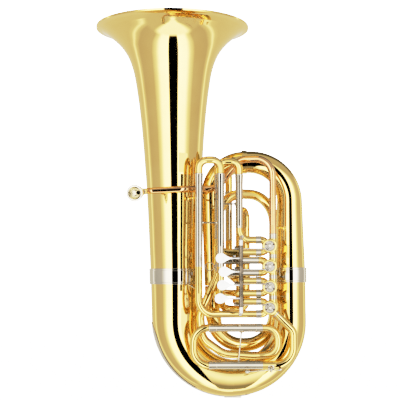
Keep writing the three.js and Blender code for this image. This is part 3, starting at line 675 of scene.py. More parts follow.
def cork_inputs(tree):
    """A matt, mottled and pitted surface."""
    texture = grain(tree, 700, 8)
    pits = add_node(tree, "Bump", {"Height": texture, "Strength": 0.5, "Distance": 0.15 * MM})
    mottled = mix_colours(tree, spread(tree, texture, 0, 1), (0.16, 0.09, 0.045), (0.09, 0.05, 0.025))
    return {"Base Color": mottled, "Roughness": 0.9, "Normal": pits.outputs["Normal"]}


# Each metal's colour, its second colour, its tint at grazing angles, roughness, haze and coat.
METALS = {
    BRASS: ((0.87, 0.61, 0.20), (0.84, 0.575, 0.18), (1.0, 0.93, 0.72), 0.035, 0.05, 0.35),
    "gold_brass": ((0.84, 0.50, 0.23), (0.76, 0.42, 0.18), (1.0, 0.88, 0.68), 0.08, 0.06, 0.2),
    NICKEL: ((0.64, 0.58, 0.46), (0.58, 0.52, 0.41), (1.0, 0.97, 0.90), 0.035, 0.05, 0.35),
    "silver_plate": ((0.86, 0.81, 0.68), (0.80, 0.75, 0.62), (1.0, 1.0, 0.95), 0.2, 0.08),
    STEEL: ((0.42, 0.40, 0.37), (0.35, 0.34, 0.31), (0.9, 0.9, 0.92), 0.18, 0.1),
    "bright_steel": ((0.72, 0.70, 0.64), (0.64, 0.62, 0.56), (1.0, 1.0, 1.0), 0.12, 0.1),
    # A dark brown copy of the metal colours: painted shade and painted dark reflections for the lever hubs,
    # cranks, spacers and springs.
    "painted_shade_metal": ((0.24, 0.20, 0.15), (0.19, 0.155, 0.115), (0.7, 0.66, 0.6), 0.24, 0.12),
    "bearing_plate": ((0.40, 0.37, 0.32), (0.33, 0.30, 0.26), (0.9, 0.88, 0.84), 0.2, 0.15),
    "satin_silver": ((0.96, 0.95, 0.93), (0.93, 0.92, 0.90), (1.0, 1.0, 1.0), 0.42, 0.1),
}
FINISH = {name: polished_metal(name, *look) for name, look in METALS.items()}
FINISH["cork"] = make_material("cork", cork_inputs)


def bell_material(axis):
    """The bell's brass, which is left rough inside so that light reaches down its throat."""
    material = polished_metal("bell_brass", *METALS[BRASS])
    tree = material.node_tree
    surface = add_node(tree, "NewGeometry").outputs
    spoke = add_node(tree, "VectorMath", {0: surface["Position"], 1: axis}, operation="SUBTRACT")
    level = {0: spoke.outputs["Vector"], 1: (1, 1, 0)}
    level = add_node(tree, "VectorMath", level, operation="MULTIPLY").outputs["Vector"]
    facing = {0: level, 1: surface["Normal"]}
    facing = add_node(tree, "VectorMath", facing, operation="DOT_PRODUCT").outputs["Value"]
    inside = calculate(tree, "LESS_THAN", facing, 0.0)
    shader = tree.nodes["Principled BSDF"]
    polish = shader.inputs["Roughness"].links[0].from_socket
    feed(tree, shader, {"Roughness": mix_values(tree, inside, polish, 0.3)})
    return material


# ---- Studio -----------------------------------------------------------------------------------

LOW, HIGH = (Vector(corner) for corner in cad_box)
SIZE = HIGH - LOW
CAMERA_DISTANCE = 2.727 * SIZE.z  # in front of the upright axis
CAMERA_HEIGHT = 0.3247 * SIZE.z
CAMERA_PITCH = 4.24  # degrees up
CAMERA_LENS = 91.1
BACKDROP = 6.0  # brighter than white, so that the paper stays white on film
FLOOR_GLOW = 3.6
SLOT_TURN = 3.0  # degrees from the camera to the middle of the dark gap between the soft boxes
SOFT_WHITE = (1.0, 0.985, 0.955, 1)

# Brightness of the studio by angle from that gap, the same to both sides: the gap, a tall soft
# box, the dim wall beside it, a narrow rim light, and the paper behind.
STUDIO_STOPS = [
    (0, 0.0), (13, 0.0), (15, 4.0), (38, 3.6), (50, 1.5), (62, 0.74), (98, 0.66), (108, 1.0),
    (113, 2.0), (118, 1.0), (125, 0.85), (180, 0.95),
]
RAMP_END = 183  # the angle at the end of the colour ramp that holds them
# How bright the film shows a scene brightness: bright reflections roll off towards white.
FILM_RESPONSE = [
    (0, 0), (0.2, 0.2), (0.4, 0.4), (0.6, 0.59), (0.9, 0.74), (1.3, 0.84), (2.0, 0.93),
    (3.0, 0.985), (4.0, 1.0),
]


def make_camera():
    camera = bpy.data.objects.new("camera", bpy.data.cameras.new("camera"))
    camera.data.lens = CAMERA_LENS
    camera.data.sensor_width = 36
    camera.location = (0, -CAMERA_DISTANCE, CAMERA_HEIGHT)
    camera.rotation_euler = (math.radians(90 + CAMERA_PITCH), 0, 0)
    bpy.context.scene.collection.objects.link(camera)
    bpy.context.scene.camera = camera


def look_up(tree, value, table, scale):
    """A value looked up in a table of (position, value) stops."""
    share = calculate(tree, "DIVIDE", value, scale)
    node = add_node(tree, "ValToRGB", {"Fac": share})
    peak = max(height for _, height in table)
    elements = node.color_ramp.elements
    for position, _ in table[1:-1]:
        elements.new(position / scale)
    for element, (_, height) in zip(elements, table):
        element.color = (*[height / peak] * 3, 1)
    return calculate(tree, "MULTIPLY", node.outputs["Color"], peak)


def make_world():
    """White to the camera; reflections see a studio whose brightness depends on direction."""
    world = bpy.data.worlds.new("studio")
    bpy.context.scene.world = world
    world.use_nodes = True
    tree = world.node_tree
    direction = add_node(tree, "TexCoord").outputs["Generated"]
    x, y, z = add_node(tree, "SeparateXYZ", {0: direction}).outputs
    heading = calculate(tree, "ARCTAN2", x, calculate(tree, "MULTIPLY", y, -1.0))
    turn = calculate(tree, "SUBTRACT", calculate(tree, "DEGREES", heading), SLOT_TURN)
    turn = calculate(tree, "ABSOLUTE", turn)

    def step(value, start, end):
        """0 below start and 1 above end, smooth between."""
        return spread(tree, value, 0.0, 1.0, start, end, "SMOOTHSTEP")

    around = look_up(tree, turn, STUDIO_STOPS, RAMP_END)
    above = mix_values(tree, step(turn, 95, 125), 0.6, 0.1)
    below = mix_values(tree, step(turn, 50, 75), 2.8, 0.8)
    level = mix_values(tree, step(z, 0.35, 0.6), around, above)
    down = calculate(tree, "MULTIPLY", z, -1.0)
    level = mix_values(tree, step(down, 0.88, 0.93), level, below)
    reflected = tree.nodes["Background"]
    feed(tree, reflected, {"Color": SOFT_WHITE, "Strength": level})
    seen = add_node(tree, "Background", {"Color": (1, 1, 1, 1), "Strength": BACKDROP})
    seen_by_camera = add_node(tree, "LightPath").outputs["Is Camera Ray"]
    choice = {"Fac": seen_by_camera, 1: reflected.outputs[0], 2: seen.outputs[0]}
    choice = add_node(tree, "MixShader", choice)
    feed(tree, tree.nodes["World Output"], {"Surface": choice.outputs[0]})


def floor_inputs(tree):
    clouds = spread(tree, grain(tree, 1.5, 2), 0, 1)
    seen_by_camera = add_node(tree, "LightPath").outputs["Is Camera Ray"]
    return {
        "Base Color": mix_colours(tree, clouds, (0.93, 0.93, 0.92), (0.95, 0.95, 0.95)),
        "Roughness": 0.7,
        "Emission Color": (1, 1, 1, 1),
        "Emission Strength": calculate(tree, "MULTIPLY", seen_by_camera, FLOOR_GLOW),
    }


def make_floor():
    """A wide pale floor that the film sees as white."""
    bpy.ops.mesh.primitive_plane_add(size=12, location=(0, 0, LOW.z - 0.2 * MM))
    floor = bpy.context.object
    floor.name = "floor"
    floor.visible_glossy = False
    floor.data.materials.append(make_material("pale_floor", floor_inputs))


def make_cards(name, edges, material):
    """Cards seen only in reflections; edges are (left, right, bottom, top, y) for each."""
    vertices, faces = [], []
    for left, right, bottom, top, y in edges:
        start = len(vertices)
        vertices += [(left, y, bottom), (right, y, bottom), (right, y, top), (left, y, top)]
        faces.append(tuple(range(start, start + 4)))
    cards = new_object(name, vertices, faces, smooth=False)
    cards.visible_camera = False
    cards.visible_diffuse = False
    cards.visible_shadow = False
    cards.data.materials.append(material)


def glowing_inputs(tree):
    """Seen along a level line the fill cards are bright, and they fade for steeper lines."""
    level, steep = 2.3, 0.3
    incoming = add_node(tree, "NewGeometry").outputs["Incoming"]
    rise = add_node(tree, "SeparateXYZ", {"Vector": incoming}).outputs["Z"]
    strength = spread(tree, calculate(tree, "ABSOLUTE", rise), level, steep, 0.12, 0.75)
    black = (0, 0, 0, 1)
    return {"Base Color": black, "Emission Color": SOFT_WHITE, "Emission Strength": strength}


def make_fill_cards():
    """Small bright cards close before the valves and the slides."""
    valves = [Vector(joints[f"valve_{number}_turn"]["pos_m"]) for number in range(1, 5)]
    upper, lower = valves[0], valves[-1]
    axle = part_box("lever_axle")[1]
    sleeve_low, sleeve_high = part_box("tuning_slide_upper_sleeve")
    left_crown, right_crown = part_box("slide_4")[0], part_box("slide_1")[1]
    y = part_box("lever_1")[0][1] - 8 * MM
    edges = [
        (axle[0], upper.x - 18 * MM, lower.z - 30 * MM, upper.z + 60 * MM, y),
        (sleeve_low[0] - 6 * MM, sleeve_high[0] + 40 * MM, -SIZE.z / 3, sleeve_high[2] + 30 * MM, y),
        (left_crown[0] - 8 * MM, right_crown[0] + 4 * MM, 0.6, right_crown[2] + 12 * MM, y),
    ]
    for x, _, z in valves:
        edges.append((x - 18 * MM, x + 25 * MM, z - 18 * MM, z + 18 * MM, y))
    material = make_material("fill_cards", glowing_inputs)
    material.cycles.emission_sampling = "NONE"
    make_cards("fill_cards", edges, material)


def make_line_cards():
    """Narrow dark cards before the upright slides, which draw a dark line down each thin tube."""
    half = 12.5 * MM
    distance = 35 * MM
    edges = []
    for node, bottom in (
        ("slide_4_left_tube", 0.28),
        ("slide_4_right_tube", 0.405),
        ("slide_1_right_tube", 0.46),
    ):
        x, y, z = paths[node].rings[0]["centre"]
        edges.append((x - half, x + half, bottom, z, y - distance))
    black = {"Base Color": (0, 0, 0, 1), "Specular IOR Level": 0, "Roughness": 1}
    make_cards("line_cards", edges, make_material("line_cards", lambda tree: black))


def develop():
    """Gives the film its response."""
    view = bpy.context.scene.view_settings
    view.view_transform = "Standard"
    view.look = "None"
    view.use_curve_mapping = True
    mapping = view.curve_mapping
    brightest = FILM_RESPONSE[-1][0]
    mapping.white_level = (brightest, brightest, brightest)
    points = mapping.curves[3].points
    for scene_level, shown in FILM_RESPONSE[1:-1]:
        points.new(scene_level / brightest, shown)
    for point in points:
        point.handle_type = "AUTO_CLAMPED"
    mapping.update()


def make_studio():
    make_camera()
    make_world()
    make_floor()
    make_fill_cards()
    make_line_cards()
    develop()


# ---- The tubes ---------------------------------------------------------------------------------

OVERLAP = 4 * MM  # of a slide's brass tubing inside its sleeve
# The slides' outer tubes: the height in metres at which the nickel silver sleeve gives way to
# brass, and the length of the collar at its mouth.
SLIDE_TUBES = {
    "slide_1_right_tube": (0.453, 23),
    "slide_1_left_tube": (0.424, 23),
    "slide_3_right_tube": (0.424, 20),
    "slide_3_left_tube": (0.424, 20),
    "slide_4_left_tube": (0.35, 23),
    "slide_4_right_tube": (0.35, 23),
}
# A wide ferrule's outline to its middle: shares of its length, and heights in millimetres.
WIDE_FERRULE = [(0, -0.6), (0, 0.2), (0.03, 0.5), (0.09, 0.5), (0.11, 0.1), (0.13, 0.1), (0.15, 0.4)]
# Tubes in one finish: node, slot, number of sides and where the path starts.
WHOLE_TUBES = [
    ("bottom_bow", BRASS, 112, -RIGHT),
    ("right_branch", BRASS, 96, UP),
    ("top_bow_collar", BRASS, 72, RIGHT),
    ("second_branch", BRASS, 72, RIGHT),
    ("inner_bottom_bow", BRASS, 56, UP),
    ("inner_top_bow", BRASS, 56, UP),
    ("first_branch", BRASS, 56, UP),
    ("leadpipe", "gold_brass", 44, -RIGHT),
    ("main_tuning_slide", BRASS, 44, UP),
    ("tuning_slide_upper_sleeve", NICKEL, 44, -RIGHT),
    ("slide_1", BRASS, 40, RIGHT),
    ("slide_2_upper_tube", NICKEL, 36, -RIGHT),
    ("slide_2_lower_tube", NICKEL, 36, -RIGHT),
    ("slide_3", BRASS, 40, RIGHT),
    ("slide_4", BRASS, 40, RIGHT),
]


def read_path(node, start=UP):
    """A CAD tube's path, starting at its end that lies furthest in a direction."""
    rings = read_rings(node)
    if (rings[-1]["centre"] - rings[0]["centre"]).dot(start) > 0:
        rings.reverse()
        for ring in rings:
            ring["tangent"] = -ring["tangent"]
    paths[node] = Path(rings)
    return paths[node]


def sleeved_tube(node, path, split, sleeve_growth, bend_growth, sides):
    """A nickel silver slide sleeve at a tube's mouth, and the brass tubing behind it."""
    sleeve = section(path, 0, split, sleeve_growth)
    bend = section(path, split - OVERLAP, path.length, bend_growth)
    shell = tube_shell(sleeve, sides)
    piece(node + "_sleeve", node_body[node], NICKEL, shell, replaces=node)
    piece(node + "_bend", node_body[node], BRASS, tube_shell(bend, sides))


def make_bell():
    sides = 128
    path = read_path("bell")
    rim = path.rings[0]
    bell = piece("bell_round", BODY, BRASS, tube_shell(path, sides), replaces="bell")
    bell.data.materials[0] = bell_material(rim["centre"])
    # The edge is rolled over a wire.
    bead = 2.6 * MM
    middle = rim["centre"] + rim["tangent"] * bead
    rolled = hoop(middle, rim["tangent"], rim["radius"] - bead, bead, 16, sides)
    piece("bell_rolled_rim", BODY, BRASS, rolled)


def make_ferrule(node):
    """A wide ferrule with rounded ends and narrow turned grooves."""
    path = read_path(node)
    length = path.length / MM
    corners = [(share * length, height) for share, height in WIDE_FERRULE]
    corners += [(length - along, height) for along, height in reversed(corners)]
    shells = (tube_shell(path, 96), band(path, 0, corners, 0.5, 96))
    piece(node + "_round", BODY, NICKEL, *shells, replaces=node)


def make_tubes():
    make_bell()
    make_ferrule("bell_ferrule")
    make_ferrule("right_ferrule")
    for node, slot, sides, start in WHOLE_TUBES:
        shell = tube_shell(read_path(node, start), sides)
        piece(node + "_round", node_body[node], slot, shell, replaces=node)
    for node, (height, _) in SLIDE_TUBES.items():
        path = read_path(node)
        mouth = max((ring["centre"] for ring in path.rings), key=lambda centre: centre.z)
        split = path.nearest(Vector((mouth.x, mouth.y, height)))
        sleeved_tube(node, path, split, 0, -0.35 * MM, 36)
    # The lower sleeve ends below the upper one, and brass tubing carries on from there.
    node = "tuning_slide_lower_tube"
    path = read_path(node, -RIGHT - UP)
    far = paths["tuning_slide_upper_sleeve"].rings[-1]["centre"]
    split = path.nearest(Vector((far.x, far.y, path.rings[0]["centre"].z)))
    sleeved_tube(node, path, split, 0.4 * MM, 0, 40)


# ---- Rotary valves -----------------------------------------------------------------------------

# Sizes in millimetres.
BARREL_R = 18.75
BARREL_BORE = 16.4
PORT_R = 10.1
PORT_BORE = 9.3
PORT_RISE = 16.5  # the side ports' height above and below the valve's axis
PORT_BEND = 14
PORT_START = 15.7  # inside the barrel's wall
OUTLET_REACH = 18.7 * math.sqrt(2)
KNUCKLE_SHIFT = 10  # the upright knuckles stand to the right of the axis
KNUCKLE_R = 9.8
KNUCKLE_START = 13
PIN_REACH = 6.6  # the stop arm's pin from the rotor's axis, across and along Z
ARM_BACK = 25.5  # the back of the stop arm, in front of the valve's middle
SLANT = (RIGHT - UP).normalized()


def moved(point, x=0.0, y=0.0, z=0.0):
    """A point moved by millimetres."""
    return point + Vector((x, y, z)) * MM


def at_depth(point, y):
    return Vector((point.x, y, point.z))


def pipe(start, end, radius, bore):
    """A plain tube with eased ends."""
    ease = min(0.3, 0.4 * (radius - bore))
    corners = hollow(bore, radius, (end - start).length / MM)
    return turned(corners, start, end - start, 40, ease)


def port_ferrule(start, axis, length, radius=PORT_R):
    """A nickel silver sleeve with a slightly raised bead at both ends."""
    wall, low, high = radius - 0.1, radius + 0.48, radius + 0.8
    end = [(wall, 0), (high, 0), (high, 1.5), (low, 1.9)]
    return turned(both_ends(end, length), start, axis, 44, 0.25)


def bead_ring(middle, axis, radius):
    """A narrow bead round a tube."""
    low, mid, high = radius - 0.2, radius + 0.42, radius + 0.7
    return turned([(low, -1), (mid, -1), (high, 0), (mid, 1), (low, 1)], middle, axis, 40)


def make_casing(number, centre):
    node = f"valve_{number}_casing"
    body = node_body[node]
    low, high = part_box(node)
    length = (high[1] - low[1]) / MM
    step = BARREL_R - 0.35
    wall = [(BARREL_BORE, 0.2), (BARREL_R, 0.2), (BARREL_R, 3), (step, 3.6), (step, length - 3.6)]
    wall += [(BARREL_R, length - 3), (BARREL_R, length - 0.3), (BARREL_BORE, length - 0.3)]
    shells = [turned(wall, at_depth(centre, high[1]), FRONT, 72)]
    for way in (1, -1):
        corner = moved(centre, -PORT_RISE, 0, way * PORT_RISE)
        out = (corner - centre).normalized()
        start = centre + out * PORT_START * MM
        end = Vector((low[0], centre.y, corner.z))
        line = bent([(start, 0), (corner, PORT_BEND * MM), (end, 0)])
        shells.append(tube_shell(route(line, PORT_R * MM, PORT_BORE * MM), 44))
        shells.append(bead_ring(start + out * 3.2 * MM, out, PORT_R))
        if number != 2:
            name = f"valve_{number}_{'upper' if way > 0 else 'lower'}_ferrule"
            piece(name, body, NICKEL, port_ferrule(moved(end, -7), RIGHT, 13))
    piece(f"valve_{number}_barrel", body, BRASS, *shells, replaces=node)
    # The front cap is a threaded ring; its domed face leaves the bearing plate in view.
    rim = BARREL_R + 0.1
    face = [(13.6, -0.1), (rim, -0.1), (rim, 0.9), (BARREL_R - 0.6, 1.6), (16.6, 2.2)]
    face += [(14.6, 2.2), (13.6, 1.7)]
    cap = turned(face, at_depth(centre, low[1]), FRONT, 96, 0.35, (96, 0.12))
    piece(f"valve_{number}_front_ring", body, BRASS, cap)


def make_knuckles(centres):
    """Upright tubes from the inlet through all valves, and the slanted outlet of the last one."""
    tops = [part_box("valve_1_casing")[1][2]]
    tops += [(above.z + below.z) / 2 for above, below in zip(centres, centres[1:])]
    for number, (centre, top) in enumerate(zip(centres, tops), 1):
        body = node_body[f"valve_{number}_casing"]
        base = moved(centre, KNUCKLE_SHIFT)
        end = Vector((base.x, base.y, top))
        shells = [pipe(moved(base, z=KNUCKLE_START), end, KNUCKLE_R, PORT_BORE)]
        if number < len(centres):
            low = Vector((base.x, base.y, tops[number] + 0.3 * MM))
            shells.append(pipe(moved(base, z=-KNUCKLE_START), low, KNUCKLE_R, PORT_BORE))
        piece(f"valve_{number}_knuckle", body, BRASS, *shells)
        sunk, length = (13, 13) if number == 1 else (5, 10)
        ring = port_ferrule(moved(end, z=-sunk), UP, length, KNUCKLE_R)
        piece(f"valve_{number}_knuckle_ferrule", body, NICKEL, ring)
    last = centres[-1]
    start, end = (last + SLANT * reach * MM for reach in (PORT_START, OUTLET_REACH))
    piece("valve_4_outlet", body, BRASS, pipe(start, end, PORT_R, PORT_BORE))
    ring = port_ferrule(end - SLANT * 3 * MM, SLANT, 16)
    piece("valve_4_outlet_ferrule", body, NICKEL, ring)


def make_bearing(number, centre):
    """Bearing plate with its screws, cork bumpers, and the rear cap of a valve."""
    node = f"valve_{number}_bearing_plate"
    body = node_body[node]
    low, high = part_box(node)
    back = at_depth(centre, high[1])
    thick = 3.7
    radius = (high[0] - centre.x) / MM
    dish, boss = thick - 0.5, thick + 0.6
    face = [(3.5, 0), (radius, 0), (radius, thick), (12.6, thick), (12.2, dish), (7.4, dish)]
    shells = [turned(face + [(7, boss), (3.5, boss)], back, FRONT, 64)]
    front = moved(back, y=-thick)
    up = UP if number <= 2 else -UP
    corks = []
    for degrees in (22, 158):
        foot = front + (arm(RIGHT, up, math.radians(degrees)) * 11 - FRONT * 0.6) * MM
        height = (foot.y - low[1]) / MM
        shells.append(turned(hollow(1.5, 2.5, height * 0.55), foot, FRONT, 24, 0.2))
        corks.append(pin(foot, foot + FRONT * height * MM, 2, 0.4))
    for degrees in (-62, -118):
        foot = front + (arm(RIGHT, up, math.radians(degrees)) * 10 - FRONT * 0.6) * MM
        shells.append(screw(foot, FRONT, 1.5, 1.2, 30 + number * 40))
    name = f"valve_{number}_plate"
    piece(name, body, NICKEL, *shells, look="bearing_plate", replaces=node)
    piece(f"valve_{number}_bumpers", body, "cork", *corks)
    node = f"valve_{number}_cap"
    low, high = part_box(node)
    start = at_depth(centre, low[1])
    reach = (high[1] - low[1]) / MM
    radius = (high[0] - centre.x) / MM
    grip = [(radius - 3, 0), (radius, 0), (radius, reach * 0.55), (radius - 1, reach * 0.6)]
    dome = [(radius - 1.2, 0.4), (radius - 1.6, 0.8), (radius - 3, 0.97), (radius - 6, 0.97)]
    dome += [(radius - 7, 0.86), (radius * 0.3, 0.86), (radius * 0.22, 1), (radius * 0.1, 1)]
    shells = [
        solid(grip, start, -FRONT, 120, 0.2, (60, 0.4)),
        solid([(out, share * reach) for out, share in dome], start, -FRONT, 60),
    ]
    piece(f"valve_{number}_rear_cap", body, BRASS, *shells, replaces=node)


def make_rotor(number, centre):
    node = f"valve_{number}_rotor"
    body = node_body[node]
    front_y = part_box(node)[0][1]
    back = at_depth(centre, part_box(f"valve_{number}_bearing_plate")[1][1])
    way = -1 if number <= 2 else 1
    arm_back = moved(centre, y=-ARM_BACK)
    turn = Matrix.Rotation(way * math.pi / 4, 3, "Y")
    arm_middle = moved(arm_back, y=-1.4) + turn @ Vector((-0.9, 0, 0)) * MM
    crank = moved(centre, -PIN_REACH, 0, way * PIN_REACH)
    shells = [
        solid([(5, 0), (15.5, 0), (15.5, 43), (5, 43)], moved(back, y=0.5), -FRONT, 56),
        pin(moved(back, y=2), moved(centre, y=-29), 3.1, 0.5),
        solid([(2, 0), (5, 0), (5, 2.9), (4.2, 3.4), (2, 3.4)], arm_back, FRONT),
        block(arm_middle, (21.4, 2.7, 4.4), 0.5, turn),
        pin(moved(crank, y=-26), at_depth(crank, front_y), 1.4),
    ]
    piece(f"valve_{number}_stop_arm", body, STEEL, *shells, replaces=node)
    head = screw(moved(arm_back, y=-3.2), FRONT, 3.1, 1.8, 20)
    piece(f"valve_{number}_arm_screw", body, NICKEL, head)
    turns = [math.pi * k / 12 for k in range(1, 12)]
    ball = [(2.9 * math.sin(turn), -2.9 * math.cos(turn)) for turn in turns]
    ball = lathe(ball, moved(crank, y=-34), FRONT, 24)
    piece(f"valve_{number}_link_ball", body, STEEL, ball)


def make_valves():
    centres = [Vector(joints[f"valve_{number}_turn"]["pos_m"]) for number in range(1, 5)]
    for number, centre in enumerate(centres, 1):
        make_casing(number, centre)
        make_bearing(number, centre)
        make_rotor(number, centre)
    make_knuckles(centres)


# ---- Levers and linkage ------------------------------------------------------------------------

LEAN = math.radians(16)  # the arms stand forward of the axle's plane
# Sizes in millimetres.
HUB_R = 6.3
PADDLE_LENGTH = 44
PADDLE_HALF = 13
ARM_R = 2.1
AXLE_BORE = 2.5
ROD_R = 1.5
EYE_R = 3.3  # of the crank's pin and of the rod's front eye
CRANK_RISE = 4.4  # of the crank over its rod
POST_R = 5.2
HUBS = [(-3.7, 32.3), (-4, 13), (-3.7, 9.3), (-21.5, 3.5)]  # hub ends above and below each arm
# A paddle's half width over its length, as shares, from the arm to its far end.
DROP = [
    (0, 0.16), (0.1, 0.2), (0.22, 0.33), (0.36, 0.6), (0.5, 0.87), (0.62, 0.99), (0.7, 1.0),
    (0.8, 0.93), (0.88, 0.79), (0.94, 0.6), (0.98, 0.37),
]


def drop_outline(start, along):
    """Points round a drop-shaped paddle that starts at a point and runs along a direction."""
    xs = [share * PADDLE_LENGTH * MM for share, _ in DROP]
    ys = [share * PADDLE_HALF * MM for _, share in DROP]
    slopes = monotone_slopes(xs, ys)
    smooth = []
    for i in range(len(DROP) - 1):
        span = xs[i + 1] - xs[i]
        for share in (0, 1 / 3, 2 / 3):
            half = hermite(ys[i], ys[i + 1], slopes[i], slopes[i + 1], span, share)
            smooth.append((xs[i] + span * share, half))
    smooth.append((xs[-1], ys[-1]))
    upper = [start + along * x + UP * y for x, y in smooth]
    lower = [start + along * x - UP * y for x, y in reversed(smooth)]
    return [*upper, start + along * PADDLE_LENGTH * MM, *lower]


def make_lever(number):
    node = f"lever_{number}"
    body = node_body[node]
    axle = Vector(joints[f"lever_{number}_press"]["pos_m"])
    rod_joint = Vector(joints[f"linkage_rod_{number}_swing"]["pos_m"])
    along = arm(-RIGHT, FRONT, LEAN)
    face = arm(FRONT, RIGHT, LEAN)
    reach = (axle.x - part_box(node)[0][0]) / math.cos(LEAN)
    start = axle + along * (reach - PADDLE_LENGTH * MM)
    paddle = plate(drop_outline(start, along), face, 2.2, 0.45, 0.5)
    piece(f"lever_{number}_paddle", body, NICKEL, paddle, look="satin_silver", replaces=node)
    # The arm swells into the hub and runs on under the paddle's narrow end.
    run = start + (along * 12 - face * 0.6) * MM - axle
    length = run.length / MM
    taper = [(ARM_R * 1.6, 4), (ARM_R * 1.5, 7), (ARM_R, 11), (ARM_R * 0.8, length - 5)]
    shell = lathe(taper + [(ARM_R * 0.45, length)], axle, run, 24)
    piece(f"lever_{number}_arm", body, NICKEL, shell, look="satin_silver")
    low, high = HUBS[number - 1]
    height = high - low
    neck = HUB_R - 0.4
    hub = both_ends([(AXLE_BORE, 0), (HUB_R, 0), (HUB_R, 1.6), (neck, 2)], height)
    shell = turned(hub, moved(axle, z=low), UP, 40, 0.25)
    # The hub's dark brown colour is painted shade over its nickel silver.
    piece(f"lever_{number}_hub", body, NICKEL, shell, look="painted_shade_metal")
    # A short crank carries the pin that moves the linkage rod.
    end = moved(rod_joint, z=CRANK_RISE)
    root = Vector((axle.x, axle.y, end.z))
    length = (end - root).length / MM
    shells = [
        lathe([(2.9, 4), (2.3, 8), (1.8, length - 3), (1.8, length - 1)], root, end - root, 20),
        solid([(1.5, 0), (EYE_R, 0), (EYE_R, 3.2), (1.5, 3.2)], moved(end, z=-1.6), UP, 32),
        pin(moved(end, z=-7.6), moved(end, z=1.2), 1.5),
    ]
    # The crank's dark brown colour is painted shade over its nickel silver too.
    piece(f"lever_{number}_crank", body, NICKEL, *shells, look="painted_shade_metal")
    head = screw(moved(end, z=1.5), UP, 2.4, 1.4, 20 * number)
    piece(f"lever_{number}_crank_screw", body, STEEL, head)


def make_rod(number):
    node = f"linkage_rod_{number}"
    body = node_body[node]
    start = Vector(joints[f"linkage_rod_{number}_swing"]["pos_m"])
    eye_x = joints[f"valve_{number}_turn"]["pos_m"][0] - PIN_REACH * MM
    end = Vector((eye_x, start.y, start.z))
    length = (end - start).length / MM
    thick = ROD_R * 1.5
    bar = [(ROD_R * 0.9, 3.2), (thick, 3.4), (thick, 8), (ROD_R, 8.6), (ROD_R, length - 11)]
    bar += [(thick, length - 10.4), (thick, length - 5), (ROD_R, length - 4.3)]
    bar = solid(bar, start, RIGHT, 20)
    piece(f"linkage_rod_{number}_bar", body, STEEL, bar, look="bright_steel", replaces=node)
    nut_r = ROD_R * 1.9
    nut = [(ROD_R, 0), (nut_r, 0), (nut_r, 2), (ROD_R, 2)]
    shells = [
        turned(hollow(2.1, 3.9, 4), moved(start, z=-2), UP, 32),
        turned(hollow(EYE_R, 5, 2.6), moved(end, y=1.3), FRONT, 36),
        solid(nut, moved(start, 9.4), RIGHT, 6, 0.15),
        solid(nut, moved(start, length - 13.4), RIGHT, 6, 0.15),
    ]
    piece(f"linkage_rod_{number}_ends", body, STEEL, *shells)


def make_post(node, axle, low_z, high_z, foot, base_z):
    """A pillar round one end of the axle, with a shank to a foot on the nearest tube."""
    height = (high_z - low_z) / MM
    corners = both_ends([(AXLE_BORE, 0), (POST_R - 0.6, 0), (POST_R, 0.8)], height)
    pillar = turned(corners, Vector((axle.x, axle.y, low_z)), UP, 40)
    centre = Vector((axle.x, axle.y, base_z))
    length = (foot - centre).length / MM
    shank = [(3.2, POST_R * 0.6), (3, POST_R + 2), (2.6, length * 0.5), (3, length - 6)]
    shank += [(6.2, length - 2.2), (6.4, length - 1.2), (6.4, length - 0.1)]
    shells = (pillar, lathe(shank, centre, foot - centre, 32))
    piece(node + "_pillar", BODY, NICKEL, *shells, look="satin_silver", replaces=node)


def make_lever_rack():
    axles = [Vector(joints[f"lever_{number}_press"]["pos_m"]) for number in range(1, 5)]
    axle = axles[0]
    low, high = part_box("lever_axle")
    bottom = Vector((axle.x, axle.y, low[2]))
    top = Vector((axle.x, axle.y, high[2]))
    shells = [
        pin(moved(bottom, z=1), moved(top, z=-1), 2.2),
        screw(moved(top, z=-2.4), UP, 3.7, 2.4, 20),
        screw(moved(bottom, z=2.4), -UP, 3.7, 2.4, 50),
    ]
    piece("lever_axle_pin", BODY, STEEL, *shells, replaces="lever_axle")
    # Spacer tubes fill the axle between the hubs, each inside its lever's return spring.
    spans = [(point.z + a * MM, point.z + b * MM) for point, (a, b) in zip(axles, HUBS)]
    gap = 0.3 * MM
    spacers, springs = [], []
    for (above, _), (_, below) in zip(spans, spans[1:]):
        start = Vector((axle.x, axle.y, below + gap))
        length = (above - gap - start.z) / MM
        spacers.append(turned(hollow(AXLE_BORE, 4.9, length), start, UP, 40))
        springs.append(coil(moved(start, z=length / 2), UP, 5.5, 0.55, length - 2, length / 1.9))
    # The spacers and springs get the dark brown colour too, as painted shade over their steel.
    piece("lever_axle_spacers", BODY, STEEL, *spacers, look="painted_shade_metal")
    piece("lever_springs", BODY, STEEL, *springs, look="painted_shade_metal")
    # Each post's foot is a point on a tube behind it, beside the height at which its shank starts.
    upper_y, lower_y = (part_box(f"lever_post_{side}")[1][1] for side in ("upper", "lower"))
    foot, base_z = Vector((0.11, upper_y, 0.428)), 0.412
    make_post("lever_post_upper", axle, spans[0][1] + 0.4 * MM, top.z - 2.5 * MM, foot, base_z)
    foot, base_z = Vector((0.106, lower_y, 0.228)), 0.238
    make_post("lever_post_lower", axle, bottom.z + 2.5 * MM, spans[3][0] - 0.4 * MM, foot, base_z)


def make_levers():
    for number in range(1, 5):
        make_lever(number)
        make_rod(number)
    make_lever_rack()


# ---- Mouthpiece, second slide, guard, water key and braces -------------------------------------

